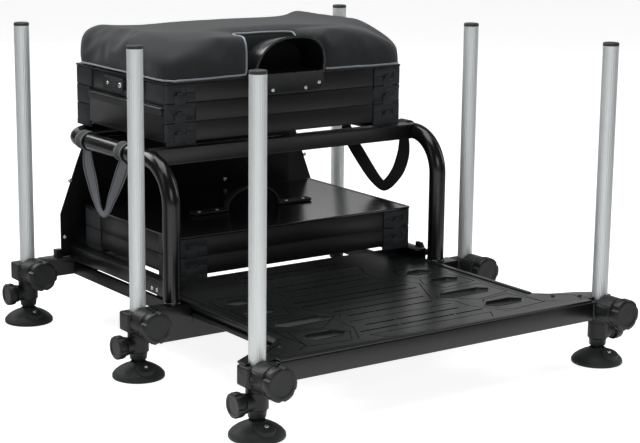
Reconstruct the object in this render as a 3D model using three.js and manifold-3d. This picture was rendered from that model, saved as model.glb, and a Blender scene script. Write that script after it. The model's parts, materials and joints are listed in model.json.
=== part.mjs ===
// A fishing seat box: a padded seat on stacked trays, on a tubular frame with a sliding footplate.
// Millimetres. x runs across, y runs to the back, z is up, and the middle legs stand at y = 0.
import * as THREE from "three";
import { mergeVertices } from "three/addons/utils/BufferGeometryUtils.js";
import Module from "manifold-3d";

const wasm = await Module();
wasm.setup();

// Clearances and tool sizes
const fit = 0.3;
const runningGap = 0.8;
const overrun = 6;
const sink = 0.5;

// Facets of round pieces
const wideSides = 20;
const bossSides = 16;
const hubSides = 12;
const neckSides = 10;
const boreSides = 8;
const studSides = 6;

// Legs
const legDiameter = 25;
const legSides = 14;
const legHeight = 515;
const postToLeg = 63;
const frontLegReach = 335;
const rearLegReach = 383;
const capHeight = 5;
const capLip = 0.2;
const capChamfer = 1.5;

// Square rails of the base frame and footplate
const railSide = 30;
const railWall = 2;
const railUnderside = 76;
const endCapThickness = 3;

// Corner castings that clamp the legs
const castingOuter = 25;
const castingInner = 27;
const castingCorner = 5;
const spigotLength = 22;
const bossRadius = 23;
const bossLength = 29;
const bossAxisRise = 15;
const studRadius = 4;

// Clamp knobs
const knobRadius = 25;
const knobDepth = 18.5;
const knobNeckRadius = 19;
const knobNeckLength = 1.2;
const knobRim = 2;
const knobLobes = 6;
const knobLobeShare = 0.06;
const knobPointsPerLobe = 3;

// Foot collars and their knobs
const collarRadius = 16.5;
const collarSocketDepth = 32;
const collarFloorThickness = 3;
const collarShoulderRadius = 14.5;
const collarStemRadius = 13;
const collarStemGap = 4;
const footKnobDrop = 24;
const footBossRadius = 13.5;
const footBossLength = 21;
const footFlangeRadius = 14.8;
const footFlangeLength = 4;
const footKnobRadius = 18.5;
const footKnobDepth = 14.5;
const footKnobNeck = 11;
const footStudRadius = 3;

// Mud feet on ball studs
const footRadius = 41;
const footEdge = 4.5;
const footBevelRadius = 39;
const footBevelHeight = 8.5;
const footSkirtRadius = 31;
const footSkirtHeight = 15;
const footHubRadius = 15;
const footHubShoulder = 22;
const footHubTop = 25;
const footHubTopRadius = 13;
const footMouthRadius = 11;
const ballRadius = 9;
const ballDrop = 7;
const ballNeckRadius = 7;
const footSides = 18;
const ballSteps = 3;
const socketSteps = 3;
const footKeyWidth = 24;
const footKeyRise = 5;
const footKeyTurn = Math.PI / 24;

// Cross rail, side rails and slide guides of the base frame
const crossRailDrop = 24;
const crossRailInset = 10;
const stubArmLap = 7;
const sideRailBeyondTray = 11;
const sideRailThickness = 7.5;
const sideRailHeight = 20;
const panelLugWidth = 12;
const panelLugHeight = 15;

// Slide rails and deck of the footplate
const slideRailWidth = 20;
const slideRailHeight = 20.7;
const slideSlotWidth = 6;
const slideSlotDepth = 4;
const slideSlotHead = 3;
const deckOverhang = 1.5;
const deckBack = 110;
const deckThickness = 3.2;
const deckFrontInset = 12;
const deckRimWidth = 9;
const deckRimRise = 1.5;
const deckPadRise = 1;
const deckPadHalfWidth = 104;
const deckPadFlare = 34;
const deckPadMargin = 30;
const deckGrooves = 11;
const deckGrooveWidth = 3;
const gussetRun = 73;
const gussetShoulderRun = 55;
const gussetShoulderReach = 20.5;
const gussetNeckRun = 40;
const gussetNeckInset = 16;
const gussetTipRun = 17;
const gussetTipReach = 22;
const cutOutHalfWidth = 14;

// Cut-outs: x and half length as shares of the deck's half width, setback of the front legs' reach.
const cutOutShares = [
  { x: 0.72, setback: 0.17, halfLength: 0.105 },
  { x: 0.735, setback: 0.358, halfLength: 0.121 },
  { x: 0.634, setback: 0.6, halfLength: 0.21 },
  { x: 0.7, setback: 0.833, halfLength: 0.1535 },
];

// Seat frame, bent from one tube
const frameTube = 28;
const postClearance = 2.5;
const framePostSetback = 4;
const frameTop = 339;
const frameBackInset = 12;
const frameBend = 66;
const frameStepsPerBend = 6;
const frameTubeSides = 14;
const weldRingRadius = 15.5;
const weldRingHeight = 4;
const crossBarSide = 25;
const crossBarFront = 62;
const crossBarWall = 2;

// Back panel, folded from sheet
const panelThickness = 2.5;
const panelOverhang = 1;
const panelShoulderRise = 76;
const panelTaper = 49;
const panelWaistDrop = 28;
const panelTopDrop = 4;
const panelPanInset = 64;
const panelFoldInset = 34;
const panelFoldDepth = 6;

// Stacking trays
const trayHalfWidth = 235;
const trayRow = 31;
const trayWall = 3;
const trayCorner = 6;
const trayPanelInset = 2;
const cornerBlockWidth = 58;
const rowGroove = 1.4;
const rowGrooveDepth = 1.2;
const catchMargin = 12;
const catchSlotHeight = 2.4;
const catchSlotDrop = 16;
const catchSlotDepth = 1.5;
const waistDepth = 2.5;
const waistTop = 6;
const waistFoot = 4;
const waistRib = 10;
const cassetteFront = 38;
const cassetteBackRoom = 22;
const cassetteRise = 29;
const cassetteFootDrop = 7;
const seatFront = 72;
const seatBackLap = 1;
const seatRise = 7.5;
const cassetteLidThickness = 2.7;

// Cassette rails
const cassetteRailClearance = 2.8;
const cassetteRailWall = 2.5;
const cassetteRailDrop = 23;
const cassetteFlange = 24;
const cassetteRailStart = 12.5;
const latchPlate = 6;
const latchLength = 30;
const latchHeight = 13;
const latchPivotSetback = 14;

// Carry handle on the cassette lid
const handleForward = 12.5;
const handleHalfSpan = 54;
const handleRise = 36;
const handleThickness = 3.2;
const handleWidth = 13;
const handleFootLength = 70;
const handleFootWidth = 22;
const handleFootHeight = 4;
const handleArchPoints = 10;

// Side drawer
const drawerFrontRoom = 5;
const drawerBackRoom = 52;
const drawerEndRoom = 30;
const drawerWall = 2.5;
const drawerPanel = 6;
const drawerPullHeight = 11;
const drawerPullDepth = 2.5;

// Tray latch
const trayLatchSetback = 124;
const trayLatchLength = 64;
const trayLatchHeight = 23;
const trayLatchThickness = 3;
const trayLatchPivot = 8;
const trayLatchHead = 1.5;

// Seat lid, cushion and pole scoop
const seatLidThickness = 3;
const cushionOverhang = 2;
const cushionFrontLap = 11;
const cushionBackLap = 3;
const cushionHeight = 57;
const cushionBolster = 11;
const cushionFrontRise = 3;
const cushionCorner = 34;
const cushionPoints = 48;
const notchCentre = -5;
const notchHalfWidth = 77;
const notchBackHalfWidth = 56;
const notchDepth = 76;
const notchStraight = 14;
const scoopRoom = 10;
const scoopRise = 66;
const scoopFrontInset = 2;
const scoopBackRoom = 21;
const scoopBackShare = 0.8;
const scoopWall = 3;
const scoopArchPoints = 14;
const apronOverlap = 3;

// Side straps
const strapWidth = 24;
const strapThickness = 2;
const strapSag = 108;
const strapBehindBarRight = 2;
const strapBeforeBendRight = 21;
const strapBehindBarLeft = 49;
const strapBeforeBendLeft = 15;
const strapLoopSides = 14;
const strapBendSteps = 8;

// Values worked out from the sizes above
const legRadius = legDiameter / 2;
const tubeRadius = frameTube / 2;
const railTop = railUnderside + railSide;
const railHalf = railSide / 2;
const bossAxisHeight = railUnderside + bossAxisRise;
const collarFloor = railUnderside - collarSocketDepth;
const collarWaist = collarFloor - collarFloorThickness;
const collarStemBottom = footHubTop + collarStemGap;
const footKnobAxisHeight = railUnderside - footKnobDrop;
const ballHeight = footHubTop - ballDrop;

// Widths, from the trays outward
const sideRailOuter = trayHalfWidth + sideRailBeyondTray;
const stubArmInner = sideRailOuter - stubArmLap;
const slideOuter = sideRailOuter - sideRailThickness - fit;
const deckHalfWidth = sideRailOuter + deckOverhang;
const cassetteRailInner = deckHalfWidth + cassetteRailClearance;
const frameHalfTrack = deckHalfWidth + postClearance + tubeRadius;
const legX = frameHalfTrack + postToLeg;
const railHalfSpan = legX - castingInner;
const crossRailHalfSpan = railHalfSpan - crossRailInset;
const panelHalfWidth = frameHalfTrack + panelOverhang;
const panelTopHalfWidth = panelHalfWidth - panelTaper;
const panelPanHalfWidth = panelHalfWidth - panelPanInset;
const panelFoldHalfWidth = panelHalfWidth - panelFoldInset;
const drawerLength = 2 * trayHalfWidth - drawerEndRoom;
const cushionHalfWidth = trayHalfWidth + cushionOverhang;
const scoopHalfWidth = notchHalfWidth - scoopRoom;
const apronHalfWidth = scoopHalfWidth + apronOverlap;

// Depths, forward from the rear legs
const rearRailFront = rearLegReach - railHalf;
const frameBack = rearLegReach - frameBackInset;
const frameAxisBack = frameBack - tubeRadius;
const panelFront = frameBack + fit;
const cassetteBack = frameBack - cassetteBackRoom;
const cassetteDepth = cassetteBack - cassetteFront;
const cassetteRailFront = framePostSetback + cassetteRailStart;
const handleSetback = (cassetteFront + cassetteBack) / 2 - handleForward;
const seatBack = frameBack + seatBackLap;
const seatDepth = seatBack - seatFront;
const drawerFront = seatFront + drawerFrontRoom;
const drawerDepth = seatBack - drawerBackRoom - drawerFront;
const trayLatchFront = seatFront + trayLatchSetback;
const cushionFront = seatFront - cushionFrontLap;
const cushionBack = seatBack + cushionBackLap;
const cushionMiddle = (cushionFront + cushionBack) / 2;
const notchBack = cushionFront + notchDepth;
const scoopFront = cushionFront + scoopFrontInset;
const scoopBack = notchBack - scoopBackRoom;
const crossBarBack = crossBarFront + crossBarSide;
const strapFrontRight = crossBarBack + strapBehindBarRight + strapWidth / 2;
const strapFrontLeft = crossBarBack + strapBehindBarLeft + strapWidth / 2;
const strapBackRight = frameAxisBack - frameBend - strapBeforeBendRight;
const strapBackLeft = frameAxisBack - frameBend - strapBeforeBendLeft;

// Heights, upward from the rails
const deckBottom = railTop + fit;
const deckTop = deckBottom + deckThickness;
const slideBottom = railTop - slideRailHeight;
const frameAxisTop = frameTop - tubeRadius;
const panelShoulderHeight = railTop + panelShoulderRise;
const panelTop = frameTop - panelTopDrop;
const panelWaistHeight = frameTop - panelWaistDrop;
const cassetteBottom = railTop + cassetteRise;
const cassetteTop = cassetteBottom + 2 * trayRow;
const cassetteRailTop = cassetteBottom - cassetteFootDrop - fit;
const seatBottom = frameTop + seatRise;
const moduleTop = seatBottom + 2 * trayRow;
const trayTop = moduleTop + trayRow;
const seatLidBottom = trayTop + fit;
const cushionBottom = seatLidBottom + seatLidThickness + fit;

const finishes = {
  blackCasting: { color: 0x17191a, roughness: 0.5, metalness: 0.3 },
  blackPaint: { color: 0x121314, roughness: 0.22, metalness: 0.35 },
  blackPlastic: { color: 0x1a1c1d, roughness: 0.55, metalness: 0 },
  glossPlastic: { color: 0x0f1011, roughness: 0.15, metalness: 0 },
  brushedMetal: { color: 0xc9d0d0, roughness: 0.3, metalness: 0.9 },
  rubber: { color: 0x1c1d1d, roughness: 0.85, metalness: 0 },
  cover: { color: 0x2c2f32, roughness: 0.7, metalness: 0 },
  webbing: { color: 0x6c6e72, roughness: 0.85, metalness: 0 },
};

// A closed solid from a geometry, with its faces turned outward.
function solid(geometry) {
  const bare = new THREE.BufferGeometry();
  bare.setAttribute("position", geometry.getAttribute("position"));
  bare.setIndex(geometry.index);
  const merged = mergeVertices(bare);
  const at = merged.getAttribute("position");
  const corner = (i) => new THREE.Vector3().fromBufferAttribute(at, i);
  const faces = [];
  let volume = 0;
  for (let i = 0; i < merged.index.count; i += 3) {
    const [a, b, c] = [0, 1, 2].map((k) => merged.index.getX(i + k));
    if (a === b || b === c || c === a) continue;
    faces.push([a, b, c]);
    volume += corner(a).dot(corner(b).cross(corner(c)));
  }
  const outward = volume < 0 ? ([a, b, c]) => [a, c, b] : ([a, b, c]) => [a, b, c];
  const triVerts = new Uint32Array(faces.flatMap(outward));
  return new wasm.Manifold(new wasm.Mesh({ numProp: 3, vertProperties: at.array, triVerts }));
}

const join = (...shapes) => shapes.reduce((whole, shape) => whole.add(shape));
const cut = (whole, ...tools) => tools.reduce((rest, tool) => rest.subtract(tool), whole);

// A block between two values on each axis.
function block([x0, x1], [y0, y1], [z0, z1]) {
  const box = new THREE.BoxGeometry(x1 - x0, y1 - y0, z1 - z0);
  return solid(box.translate((x0 + x1) / 2, (y0 + y1) / 2, (z0 + z1) / 2));
}

// A round bar along an axis; the centre gives its place on the other two axes.
function rod(axis, radius, [start, end], [first, second] = [0, 0], sides = wideSides) {
  const bar = new THREE.CylinderGeometry(radius, radius, end - start, sides);
  const middle = (start + end) / 2;
  if (axis === "y") return solid(bar.translate(first, middle, second));
  if (axis === "z") return solid(bar.rotateX(Math.PI / 2).translate(first, second, middle));
  return solid(bar.rotateZ(Math.PI / 2).translate(middle, first, second));
}

const axes = (...columns) => new THREE.Matrix4().makeBasis(...columns.map((v) => new THREE.Vector3(...v)));
const turnTo = {
  x: axes([0, 1, 0], [0, 0, 1], [1, 0, 0]),
  y: axes([1, 0, 0], [0, 0, 1], [0, -1, 0]),
  z: axes([1, 0, 0], [0, 1, 0], [0, 0, 1]),
};

// An outline pushed along an axis. Outlines are (y, z) on x, (x, z) on y and (x, y) on z.
function prism(outline, axis, [start, end], curveSegments = 3) {
  const points = Array.isArray(outline) ? outline.map((p) => new THREE.Vector2(...p)) : null;
  const shape = points ? new THREE.Shape(points) : outline;
  const run = new THREE.ExtrudeGeometry(shape, { depth: end - start, bevelEnabled: false, curveSegments });
  run.applyMatrix4(turnTo[axis]);
  const shift = { x: [start, 0, 0], y: [0, end, 0], z: [0, 0, start] }[axis];
  return solid(run.translate(...shift));
}

// A rectangle with round corners.
function roundedRectangle([x0, x1], [y0, y1], radius) {
  const shape = new THREE.Shape();
  shape.absarc(x1 - radius, y0 + radius, radius, -Math.PI / 2, 0);
  shape.absarc(x1 - radius, y1 - radius, radius, 0, Math.PI / 2);
  shape.absarc(x0 + radius, y1 - radius, radius, Math.PI / 2, Math.PI);
  shape.absarc(x0 + radius, y0 + radius, radius, Math.PI, 1.5 * Math.PI);
  return shape;
}

// A profile of (radius, height) points turned round the z axis.
function turned(profile, sides = legSides) {
  const points = profile.map((p) => new THREE.Vector2(...p));
  return solid(new THREE.LatheGeometry(points, sides).rotateX(Math.PI / 2));
}

const circle = (radius, sides) =>
  Array.from({ length: sides }, (_, i) => {
    const turn = (2 * Math.PI * i) / sides;
    return new THREE.Vector2(radius * Math.cos(turn), radius * Math.sin(turn));
  });

// A route given by its own stations, so that bends have many and straight runs only two.
class StationCurve extends THREE.Curve {
  constructor(points) {
    super();
    this.points = points;
    this.closedEnds = points.length - 1;
  }
  getPointAt(share) {
    return this.points[Math.round(share * this.closedEnds)].clone();
  }
  getTangentAt(share) {
    const i = Math.round(share * this.closedEnds);
    const before = this.points[Math.max(i - 1, 0)];
    const after = this.points[Math.min(i + 1, this.closedEnds)];
    const arriving = this.points[i].clone().sub(before).normalize();
    return after.clone().sub(this.points[i]).normalize().add(arriving).normalize();
  }
}

// A section swept along a list of points.
function sweep(points, outline) {
  const route = new StationCurve(points);
  const section = new THREE.Shape(outline);
  const steps = points.length - 1;
  return solid(new THREE.ExtrudeGeometry(section, { steps, extrudePath: route, bevelEnabled: false }));
}

// Stations along straight runs joined by bends of one radius.
function bentRoute(corners, radius, stepsPerBend) {
  const stations = [corners[0].clone()];
  for (let i = 1; i < corners.length - 1; i += 1) {
    const arriving = corners[i].clone().sub(corners[i - 1]).normalize();
    const leaving = corners[i + 1].clone().sub(corners[i]).normalize();
    const centre = corners[i].clone().addScaledVector(arriving, -radius).addScaledVector(leaving, radius);
    for (let k = 0; k <= stepsPerBend; k += 1) {
      const turn = (Math.PI / 2) * (k / stepsPerBend);
      const station = centre.clone().addScaledVector(leaving, -radius * Math.cos(turn));
      stations.push(station.addScaledVector(arriving, radius * Math.sin(turn)));
    }
  }
  return [...stations, corners.at(-1).clone()];
}

// A named mesh with a finish of its own.
function piece(name, shape, finish) {
  const data = shape.getMesh();
  const geometry = new THREE.BufferGeometry();
  geometry.setAttribute("position", new THREE.BufferAttribute(data.vertProperties, data.numProp));
  geometry.setIndex(new THREE.BufferAttribute(data.triVerts, 1));
  const faceted = geometry.toNonIndexed();
  faceted.computeVertexNormals();
  const mesh = new THREE.Mesh(faceted, new THREE.MeshStandardMaterial(finishes[finish]));
  mesh.name = name;
  return mesh;
}

// The same shape on the other side of the centre plane.
function mirrored(mesh) {
  mesh.scale.x = -1;
  return mesh;
}

// The leg units are drawn round a leg axis at the origin, with the outer side towards +x.
function leg() {
  const capBottom = legHeight - capHeight;
  const capRadius = legRadius + capLip;
  return turned([
    [0, collarFloor + fit],
    [legRadius, collarFloor + fit],
    [legRadius, capBottom],
    [capRadius, capBottom],
    [capRadius, legHeight - capChamfer],
    [capRadius - capChamfer, legHeight],
    [0, legHeight],
  ]);
}

// A sleeve round the leg, a spigot into the rail and a round boss for the clamp stud.
function cornerCasting() {
  const body = prism(
    roundedRectangle([-castingInner, castingOuter], [-railHalf, railHalf], castingCorner),
    "z",
    [railUnderside, railTop],
  );
  const squareEnd = block([-castingInner, 0], [-railHalf, railHalf], [railUnderside, railTop]);
  const bossFace = -railHalf - bossLength;
  const boss = rod("y", bossRadius, [bossFace, 0], [0, bossAxisHeight], bossSides);
  const spigotHalf = railHalf - railWall - fit;
  const railAxisHeight = (railUnderside + railTop) / 2;
  const spigot = block(
    [-castingInner - spigotLength, -castingInner + sink],
    [-spigotHalf, spigotHalf],
    [railAxisHeight - spigotHalf, railAxisHeight + spigotHalf],
  );
  const bossBottom = bossAxisHeight - bossRadius;
  const lower = [bossBottom - overrun, railUnderside];
  const behind = block([-castingInner - overrun, castingOuter + overrun], [-railHalf, railHalf], lower);
  const collarRoom = rod("z", collarRadius + runningGap, lower, [0, 0], legSides);
  const bossTop = bossAxisHeight + bossRadius + overrun;
  const above = block([-bossRadius, bossRadius], [-railHalf + sink, railHalf], [railTop, bossTop]);
  const bore = rod("z", legRadius + fit, [bossBottom - overrun, bossTop], [0, 0], legSides);
  const studBore = rod("y", studRadius + fit, [bossFace - overrun, 0], [0, bossAxisHeight], boreSides);
  return cut(join(body, squareEnd, boss, spigot), behind, collarRoom, above, bore, studBore);
}

// A wavy knob face about the y axis at the origin, with its neck and its threaded stud behind.
function lobedKnob(radius, depth, neckRadius, neckLength, stud, studLength) {
  const count = knobLobes * knobPointsPerLobe;
  const wavy = (size) =>
    Array.from({ length: count }, (_, i) => {
      const turn = (2 * Math.PI * i) / count;
      const reach = size * (1 - knobLobeShare * (1 - Math.cos(knobLobes * turn)));
      return [reach * Math.cos(turn), reach * Math.sin(turn)];
    });
  const wheel = prism(wavy(radius), "y", [-neckLength - depth + knobRim, -neckLength]);
  const rim = prism(wavy(radius - knobRim), "y", [-neckLength - depth, -neckLength]);
  const neck = rod("y", neckRadius, [-neckLength - sink, 0], [0, 0], neckSides);
  const screw = rod("y", stud, [-neckLength - sink, studLength], [0, 0], studSides);
  return join(wheel, rim, neck, screw);
}

function clampKnob() {
  const face = -railHalf - bossLength - fit;
  const studReach = -face - legRadius - runningGap;
  const knob = lobedKnob(knobRadius, knobDepth, knobNeckRadius, knobNeckLength, studRadius, studReach);
  return knob.translate([0, face, bossAxisHeight]);
}

function footKnob() {
  const face = footBossLength + footFlangeLength + fit;
  const studReach = face - legRadius - fit;
  const neck = [footKnobNeck, knobNeckLength];
  const knob = lobedKnob(footKnobRadius, footKnobDepth, ...neck, footStudRadius, studReach);
  return knob.rotate([0, 0, 90]).translate([face, 0, footKnobAxisHeight]);
}

// The socket that the leg ends in, with the boss for its knob and the ball stud below.
function footCollar() {
  const top = railUnderside - fit;
  const neckTurn = Math.asin(ballNeckRadius / ballRadius);
  const ball = Array.from({ length: ballSteps + 1 }, (_, i) => {
    const turn = Math.PI - ((Math.PI - neckTurn) * i) / ballSteps;
    return [Math.max(ballRadius * Math.sin(turn), 0), ballHeight + ballRadius * Math.cos(turn)];
  });
  ball[0][0] = 0;
  const body = turned([
    ...ball,
    [ballNeckRadius, collarStemBottom],
    [collarStemRadius, collarStemBottom],
    [collarShoulderRadius, collarWaist],
    [collarRadius, collarWaist],
    [collarRadius, top],
    [0, top],
  ]);
  const boss = rod("x", footBossRadius, [0, footBossLength], [0, footKnobAxisHeight], hubSides);
  const flangeEnd = footBossLength + footFlangeLength;
  const flangeX = [footBossLength - sink, flangeEnd];
  const flange = rod("x", footFlangeRadius, flangeX, [0, footKnobAxisHeight], hubSides);
  const socket = rod("z", legRadius + fit, [collarFloor, top + overrun], [0, 0], legSides);
  const studX = [0, flangeEnd + overrun];
  const studBore = rod("x", footStudRadius + fit, studX, [0, footKnobAxisHeight], boreSides);
  return cut(join(body, boss, flange), socket, studBore);
}

// A dished plate with a hub that holds the ball, and a raised key with its screw seat.
function mudFoot() {
  const socketLip = footHubTop - (footHubTopRadius - footMouthRadius);
  const facetShare = Math.cos(Math.PI / (3 * socketSteps));
  const socketRadius = (ballRadius + fit) / facetShare;
  const lipTurn = Math.acos((socketLip - ballHeight) / socketRadius);
  const socket = Array.from({ length: socketSteps + 1 }, (_, i) => {
    const turn = lipTurn + ((Math.PI - lipTurn) * i) / socketSteps;
    return [socketRadius * Math.sin(turn), ballHeight + socketRadius * Math.cos(turn)];
  });
  socket[socketSteps][0] = 0;
  const plate = turned(
    [
      [0, 0],
      [footRadius, 0],
      [footRadius, footEdge],
      [footBevelRadius, footBevelHeight],
      [footSkirtRadius, footSkirtHeight],
      [footHubRadius, footHubShoulder],
      [footHubTopRadius, footHubTop],
      [footMouthRadius, footHubTop],
      ...socket,
    ],
    footSides,
  );
  const keyEnd = footBevelRadius - footEdge;
  const keyProfile = [
    [-keyEnd, footEdge],
    [-footMouthRadius - sink, footEdge],
    [-footMouthRadius - sink, footHubTop - capChamfer],
    [-footHubRadius - capChamfer, footHubTop - capChamfer],
    [-keyEnd, footBevelHeight + footKeyRise],
  ];
  const key = prism(keyProfile, "x", [-footKeyWidth / 2, footKeyWidth / 2]);
  return join(plate, key.rotate([0, 0, THREE.MathUtils.radToDeg(footKeyTurn)]));
}

const legShapes = {
  leg: leg(),
  corner_casting: cornerCasting(),
  clamp_knob: clampKnob(),
  foot_collar: footCollar(),
  foot_knob: footKnob(),
  mud_foot: mudFoot(),
};
const legFinishes = {
  leg: "brushedMetal",
  corner_casting: "blackCasting",
  clamp_knob: "blackPlastic",
  foot_collar: "blackCasting",
  foot_knob: "blackPlastic",
  mud_foot: "rubber",
};

// One leg with everything on it; side is 1 on the right and -1 on the left.
function legUnit(place, side, y) {
  const unit = new THREE.Group();
  for (const [name, shape] of Object.entries(legShapes)) {
    unit.add(piece(`${place}_${name}`, shape, legFinishes[name]));
  }
  unit.position.set(side * legX, y, 0);
  unit.scale.x = side;
  return unit;
}

// A square tube across the frame, open at both ends.
function crossTube(halfSpan, [y0, y1], [z0, z1], wall) {
  const outer = block([-halfSpan, halfSpan], [y0, y1], [z0, z1]);
  const far = halfSpan + overrun;
  return cut(outer, block([-far, far], [y0 + wall, y1 - wall], [z0 + wall, z1 - wall]));
}

const bothSides = (shape) => join(shape, shape.mirror([1, 0, 0]));

// Rear rail, cross rail under the seat front, side rails and the stub arms that carry the seat frame.
function baseFrame() {
  const rearRailY = [rearRailFront, rearLegReach + railHalf];
  const rearRail = crossTube(railHalfSpan - fit, rearRailY, [railUnderside, railTop], railWall);
  const crossRail = block(
    [-crossRailHalfSpan, crossRailHalfSpan],
    [-railHalf, -railHalf + crossRailDrop],
    [railUnderside - crossRailDrop, railUnderside + sink],
  );
  const arm = block([stubArmInner, railHalfSpan - fit], [-railHalf, railHalf], [railUnderside, railTop]);
  const armHollow = block(
    [stubArmInner + endCapThickness, railHalfSpan + overrun],
    [-railHalf + railWall, railHalf - railWall],
    [railUnderside + railWall, railTop - railWall],
  );
  const sideRail = block(
    [sideRailOuter - sideRailThickness, sideRailOuter],
    [railHalf - sink, rearRailFront + sink],
    [railUnderside, railUnderside + sideRailHeight],
  );
  const guide = block(
    [slideOuter - slideRailWidth, slideOuter],
    [-railHalf, -railHalf + crossRailDrop],
    [railUnderside, slideBottom - fit],
  );
  const lug = block(
    [panelHalfWidth + fit, panelHalfWidth + fit + panelLugWidth],
    [panelFront, panelFront + panelLugWidth],
    [railTop - sink, railTop + panelLugHeight],
  );
  return join(rearRail, crossRail, bothSides(cut(arm, armHollow)), bothSides(join(sideRail, guide, lug)));
}

function frontRail() {
  const y = [-frontLegReach - railHalf, -frontLegReach + railHalf];
  return crossTube(railHalfSpan - fit, y, [railUnderside, railTop], railWall);
}

// A slotted runner under the deck, with its slot on the outer side.
function slideRail() {
  const inner = slideOuter - slideRailWidth;
  const slotMiddle = (slideBottom + railTop) / 2;
  const slot = slideSlotWidth / 2;
  const head = slot + slideSlotHead;
  const throat = slideOuter - slideSlotDepth;
  const floor = throat - slideSlotDepth;
  const profile = [
    [inner, slideBottom],
    [slideOuter, slideBottom],
    [slideOuter, slotMiddle - slot],
    [throat, slotMiddle - slot],
    [throat, slotMiddle - head],
    [floor, slotMiddle - head],
    [floor, slotMiddle + head],
    [throat, slotMiddle + head],
    [throat, slotMiddle + slot],
    [slideOuter, slotMiddle + slot],
    [slideOuter, railTop],
    [inner, railTop],
  ];
  return prism(profile, "y", [-frontLegReach + railHalf + fit, deckBack]);
}

// A long hexagonal cut-out with its points to left and right.
function hexagon([x, y], halfLength, halfWidth) {
  const shoulder = halfLength - halfWidth;
  return [
    [x - halfLength, y],
    [x - shoulder, y - halfWidth],
    [x + shoulder, y - halfWidth],
    [x + halfLength, y],
    [x + shoulder, y + halfWidth],
    [x - shoulder, y + halfWidth],
  ];
}

function footplateDeck() {
  const front = -frontLegReach - railHalf + deckFrontInset;
  const tip = legX + gussetTipReach;
  const half = [
    [deckHalfWidth, deckBack],
    [deckHalfWidth, -frontLegReach + gussetRun],
    [deckHalfWidth + gussetShoulderReach, -frontLegReach + gussetShoulderRun],
    [legX - gussetNeckInset, -frontLegReach + gussetNeckRun],
    [tip, -frontLegReach + gussetTipRun],
    [tip, front],
  ];
  const outline = [...half, ...half.toReversed().map(([x, y]) => [-x, y])];
  const plate = prism(outline, "z", [deckBottom, deckTop]);
  const through = [deckBottom - overrun, deckTop + overrun];
  const holes = cutOutShares.map(({ x, setback, halfLength }) => {
    const middle = [x * deckHalfWidth, -setback * frontLegReach];
    return prism(hexagon(middle, halfLength * deckHalfWidth, cutOutHalfWidth), "z", through);
  });
  const legRoom = rod("z", legRadius + capLip + runningGap, through, [legX, -frontLegReach]);
  const rim = block(
    [deckHalfWidth - deckRimWidth, deckHalfWidth],
    [-frontLegReach + gussetRun, deckBack],
    [deckTop - sink, deckTop + deckRimRise],
  );
  return cut(join(plate, bothSides(rim), deckPad()), ...[...holes, legRoom].map(bothSides));
}

// The raised centre of the deck, widest at its middle, with grooves across it.
function deckPad() {
  const ends = [-frontLegReach + deckPadMargin, deckBack - deckPadMargin];
  const middle = (ends[0] + ends[1]) / 2;
  const half = [
    [deckPadHalfWidth, ends[0]],
    [deckPadHalfWidth + deckPadFlare, middle],
    [deckPadHalfWidth, ends[1]],
  ];
  const outline = [...half, ...half.toReversed().map(([x, y]) => [-x, y])];
  const top = deckTop + deckPadRise;
  const pad = prism(outline, "z", [deckTop - sink, top]);
  const pitch = (ends[1] - ends[0]) / (deckGrooves + 1);
  const grooves = Array.from({ length: deckGrooves }, (_, i) => {
    const y = ends[0] + (i + 1) * pitch;
    const groove = [y - deckGrooveWidth / 2, y + deckGrooveWidth / 2];
    return block([-legX, legX], groove, [deckTop, top + overrun]);
  });
  return cut(pad, ...grooves);
}

// Both posts, the side runs and the rear run of the seat frame are one bent tube.
function seatFrame() {
  const footHeight = railTop + fit;
  const corner = (x, y, z) => new THREE.Vector3(x, y, z);
  const corners = [
    corner(-frameHalfTrack, framePostSetback, footHeight),
    corner(-frameHalfTrack, framePostSetback, frameAxisTop),
    corner(-frameHalfTrack, frameAxisBack, frameAxisTop),
    corner(frameHalfTrack, frameAxisBack, frameAxisTop),
    corner(frameHalfTrack, framePostSetback, frameAxisTop),
    corner(frameHalfTrack, framePostSetback, footHeight),
  ];
  const tube = sweep(bentRoute(corners, frameBend, frameStepsPerBend), circle(tubeRadius, frameTubeSides));
  const ringZ = [footHeight, footHeight + weldRingHeight];
  const ring = rod("z", weldRingRadius, ringZ, [frameHalfTrack, framePostSetback]);
  return join(tube, bothSides(ring));
}

// The bar under the front of the seat, coped to the side runs of the frame.
function frameCrossBar() {
  const y = [crossBarFront, crossBarBack];
  const z = [frameTop - crossBarSide, frameTop];
  const bar = crossTube(frameHalfTrack, y, z, crossBarWall);
  const beyond = [crossBarFront - overrun, crossBarBack + overrun];
  const cope = rod("y", tubeRadius + runningGap, beyond, [frameHalfTrack, frameAxisTop]);
  const endX = [frameHalfTrack - tubeRadius / 2, frameHalfTrack + overrun];
  const end = block(endX, beyond, [z[0] - overrun, z[1] + overrun]);
  return cut(bar, bothSides(join(cope, end)));
}

// A sheet with a forward pan between two folds, cut to its sloping outline.
function backPanel() {
  const rear = panelFront + panelFoldDepth;
  const half = [
    [panelPanHalfWidth, panelFront],
    [panelFoldHalfWidth, rear],
    [panelHalfWidth, rear],
    [panelHalfWidth, rear + panelThickness],
    [panelFoldHalfWidth, rear + panelThickness],
    [panelPanHalfWidth, panelFront + panelThickness],
  ];
  const section = [...half, ...half.toReversed().map(([x, y]) => [-x, y])];
  const sheet = prism(section, "z", [railTop + fit, panelTop]);
  const side = [
    [panelHalfWidth, railTop],
    [panelHalfWidth, panelShoulderHeight],
    [panelTopHalfWidth, panelWaistHeight],
    [panelTopHalfWidth, panelTop],
  ];
  const outline = [...side, ...side.toReversed().map(([x, z]) => [-x, z])];
  return sheet.intersect(prism(outline, "y", [panelFront - overrun, rear + panelThickness + overrun]));
}

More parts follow.
